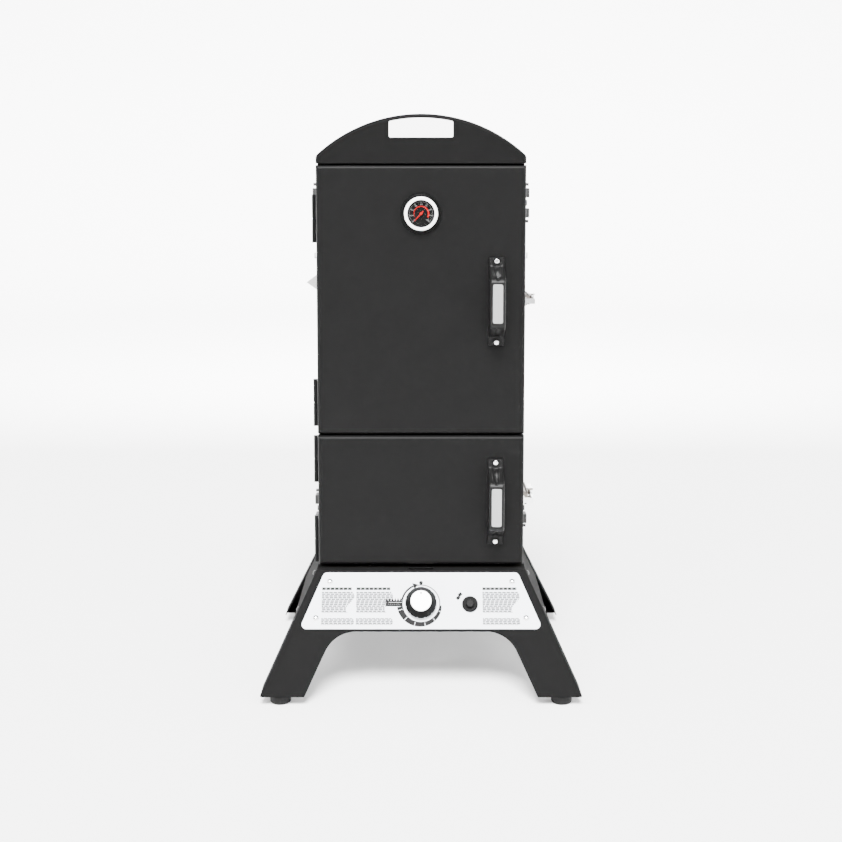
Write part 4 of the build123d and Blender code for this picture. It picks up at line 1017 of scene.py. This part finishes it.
class SMOKER_OT_grids(bpy.types.Operator):
    """Cooking grids: a rounded border wire and a row of thin wires, on each pair of rails"""

    bl_idname = "smoker.grids"
    bl_label = "Cooking grids"

    def execute(self, context):
        solids = islands("cooking_grids")
        low, high = solids[0]
        border, thin = 3.0 * MM, look().wire
        grower = Grower("grid_wires", finish("grid_steel"))
        count = grower.ask("Wires", look().wire_count, "NodeSocketInt")
        thin_radius = grower.ask("Wire radius", thin)
        border_radius = grower.ask("Border radius", border)
        wide, deep = high.x - low.x - 2 * border, high.y - low.y - 2 * border
        width = grower.ask("Width", wide)
        depth = grower.ask("Depth", deep)
        corner = grower.ask("Corner", 16.0 * MM)
        rim = grower.add("GeometryNodeCurvePrimitiveQuadrilateral", Width=width, Height=depth)
        rim = grower.add("GeometryNodeFilletCurve", {"mode": "POLY"}, Curve=rim, Radius=corner, Count=6)
        circle = grower.add("GeometryNodeCurvePrimitiveCircle", Resolution=12, Radius=border_radius)
        rim = grower.add("GeometryNodeCurveToMesh", Curve=rim, Profile_Curve=circle)
        wire = grower.add("GeometryNodeCurvePrimitiveLine", Start=(0, -deep / 2, 0), End=(0, deep / 2, 0))
        small = grower.add("GeometryNodeCurvePrimitiveCircle", Resolution=10, Radius=thin_radius)
        wire = grower.add("GeometryNodeCurveToMesh", Curve=wire, Profile_Curve=small, Fill_Caps=True)
        inset = 14.0 * MM
        row = grower.add("GeometryNodeMeshLine", {"mode": "END_POINTS"}, Count=count,
                         Start_Location=(inset - wide / 2, 0, border * 0.6),
                         Offset=(wide / 2 - inset, 0, border * 0.6))
        row = grower.add("GeometryNodeInstanceOnPoints", Points=row, Instance=wire)
        brace = grower.add("GeometryNodeCurvePrimitiveLine", Start=(-wide / 2, 0, 0), End=(wide / 2, 0, 0))
        brace = grower.add("GeometryNodeCurveToMesh", Curve=brace, Profile_Curve=small, Fill_Caps=True)
        join = grower.tree.nodes.new("GeometryNodeJoinGeometry")
        for part in (rim, row, brace):
            grower.tree.links.new(part, join.inputs[0])
        whole = grower.add("GeometryNodeRealizeInstances", Geometry=join.outputs[0])
        levels = grower.add("GeometryNodeMeshLine", {"mode": "OFFSET"}, Count=len(solids),
                            Start_Location=((low.x + high.x) / 2, (low.y + high.y) / 2, low.z + border),
                            Offset=(0, 0, solids[1][0].z - low.z))
        stack = grower.add("GeometryNodeInstanceOnPoints", Points=levels, Instance=whole)
        mesh = smooth(grower.grow(stack), 60)
        piece("grid_set", mesh, "grid_steel", "cabinet", stands_for=["cooking_grids"])
        return {"FINISHED"}


class SMOKER_OT_seals(bpy.types.Operator):
    """Rope seals: strands twisted round a path that follows each opening"""

    bl_idname = "smoker.seals"
    bl_label = "Rope seals"

    def execute(self, context):
        meshes = bmesh.new()
        for low, high in islands("door_gaskets"):
            meshes.from_mesh(self.twist(low, high))
        made = piece("rope_seals", meshes, "seal_rope", "cabinet", stands_for=["door_gaskets"])
        for face in made.data.polygons:
            face.use_smooth = True
        return {"FINISHED"}

    def twist(self, low, high):
        thick = (high.y - low.y) / 2
        wide, tall = high.x - low.x - 2 * thick, high.z - low.z - 2 * thick
        middle = (low + high) / 2
        length = 2 * (wide + tall)
        grower = Grower("rope_strands", finish("seal_rope"))
        strands = 4
        lay = grower.ask("Twist length", 26.0 * MM)
        strand_radius = grower.ask("Strand radius", thick * 0.46)
        reach = grower.ask("Strand offset", thick * 0.5)
        corner = grower.ask("Corner", 12.0 * MM)
        rim = grower.add("GeometryNodeCurvePrimitiveQuadrilateral", Width=wide, Height=tall)
        rim = grower.add("GeometryNodeFilletCurve", {"mode": "POLY"}, Curve=rim, Radius=corner, Count=5)
        rim = grower.add("GeometryNodeResampleCurve", Curve=rim, Count=int(length / (2.6 * MM)))
        profile = grower.add("GeometryNodeCurvePrimitiveCircle", Resolution=7, Radius=strand_radius)
        along = grower.add("GeometryNodeSplineParameter", out=1)
        turns = self.reckon(grower, "DIVIDE", along, lay)
        normal = grower.add("GeometryNodeInputNormal")
        tangent = grower.add("GeometryNodeInputTangent")
        cross = grower.add("ShaderNodeVectorMath", {"operation": "CROSS_PRODUCT"}).node
        grower.tree.links.new(normal, cross.inputs[0])
        grower.tree.links.new(tangent, cross.inputs[1])
        join = grower.tree.nodes.new("GeometryNodeJoinGeometry")
        for n in range(strands):
            angle = self.reckon(grower, "MULTIPLY_ADD", turns, tau, tau * n / strands)
            east = self.reckon(grower, "MULTIPLY", self.reckon(grower, "COSINE", angle), reach)
            north = self.reckon(grower, "MULTIPLY", self.reckon(grower, "SINE", angle), reach)
            first = self.scaled(grower, normal, east)
            second = self.scaled(grower, cross.outputs[0], north)
            offset = grower.add("ShaderNodeVectorMath", {"operation": "ADD"}).node
            grower.tree.links.new(first, offset.inputs[0])
            grower.tree.links.new(second, offset.inputs[1])
            strand = grower.add("GeometryNodeSetPosition", Geometry=rim, Offset=offset.outputs[0])
            tube = grower.add("GeometryNodeCurveToMesh", Curve=strand, Profile_Curve=profile)
            grower.tree.links.new(tube, join.inputs[0])
        mesh = grower.grow(join.outputs[0])
        mesh.transform(Matrix.Translation(middle) @ Matrix.Rotation(pi / 2, 4, "X"))
        return mesh

    def reckon(self, grower, operation, *values):
        """One maths node inside the tree."""
        node = grower.add("ShaderNodeMath", {"operation": operation}).node
        for socket, value in zip(node.inputs, values):
            if isinstance(value, bpy.types.NodeSocket):
                grower.tree.links.new(value, socket)
            else:
                socket.default_value = value
        return node.outputs[0]

    def scaled(self, grower, vector, factor):
        """A vector times a number, inside the tree."""
        node = grower.add("ShaderNodeVectorMath", {"operation": "SCALE"}).node
        grower.tree.links.new(vector, node.inputs[0])
        grower.tree.links.new(factor, node.inputs["Scale"])
        return node.outputs[0]


CLASSES = (
    SmokerLook, SMOKER_OT_finishes, SMOKER_OT_stage, SMOKER_OT_dial, SMOKER_OT_handles,
    SMOKER_OT_bolts, SMOKER_OT_grids, SMOKER_OT_seals,
)


class SMOKER_PT_panel(bpy.types.Panel):
    """Lists the smoker's operators and its sizes"""

    bl_idname = "SMOKER_PT_panel"
    bl_label = "Cabinet smoker"
    bl_space_type = "VIEW_3D"
    bl_region_type = "UI"
    bl_category = "Smoker"

    def draw(self, context):
        layout = self.layout
        for item in CLASSES:
            if hasattr(item, "bl_idname") and issubclass(item, bpy.types.Operator):
                layout.operator(item.bl_idname)
        for name in SmokerLook.__annotations__:
            layout.prop(context.scene.smoker_look, name)


def register():
    for item in CLASSES:
        bpy.utils.register_class(item)
    bpy.utils.register_class(SMOKER_PT_panel)
    bpy.types.Scene.smoker_look = bpy.props.PointerProperty(type=SmokerLook)


def unregister():
    del bpy.types.Scene.smoker_look
    bpy.utils.unregister_class(SMOKER_PT_panel)
    for item in reversed(CLASSES):
        bpy.utils.unregister_class(item)


def main():
    register()
    bpy.ops.smoker.finishes()
    bpy.ops.smoker.stage()
    bpy.ops.smoker.dial()
    bpy.ops.smoker.handles()
    bpy.ops.smoker.bolts()
    bpy.ops.smoker.grids()
    bpy.ops.smoker.seals()


if __name__ == "__main__":
    main()
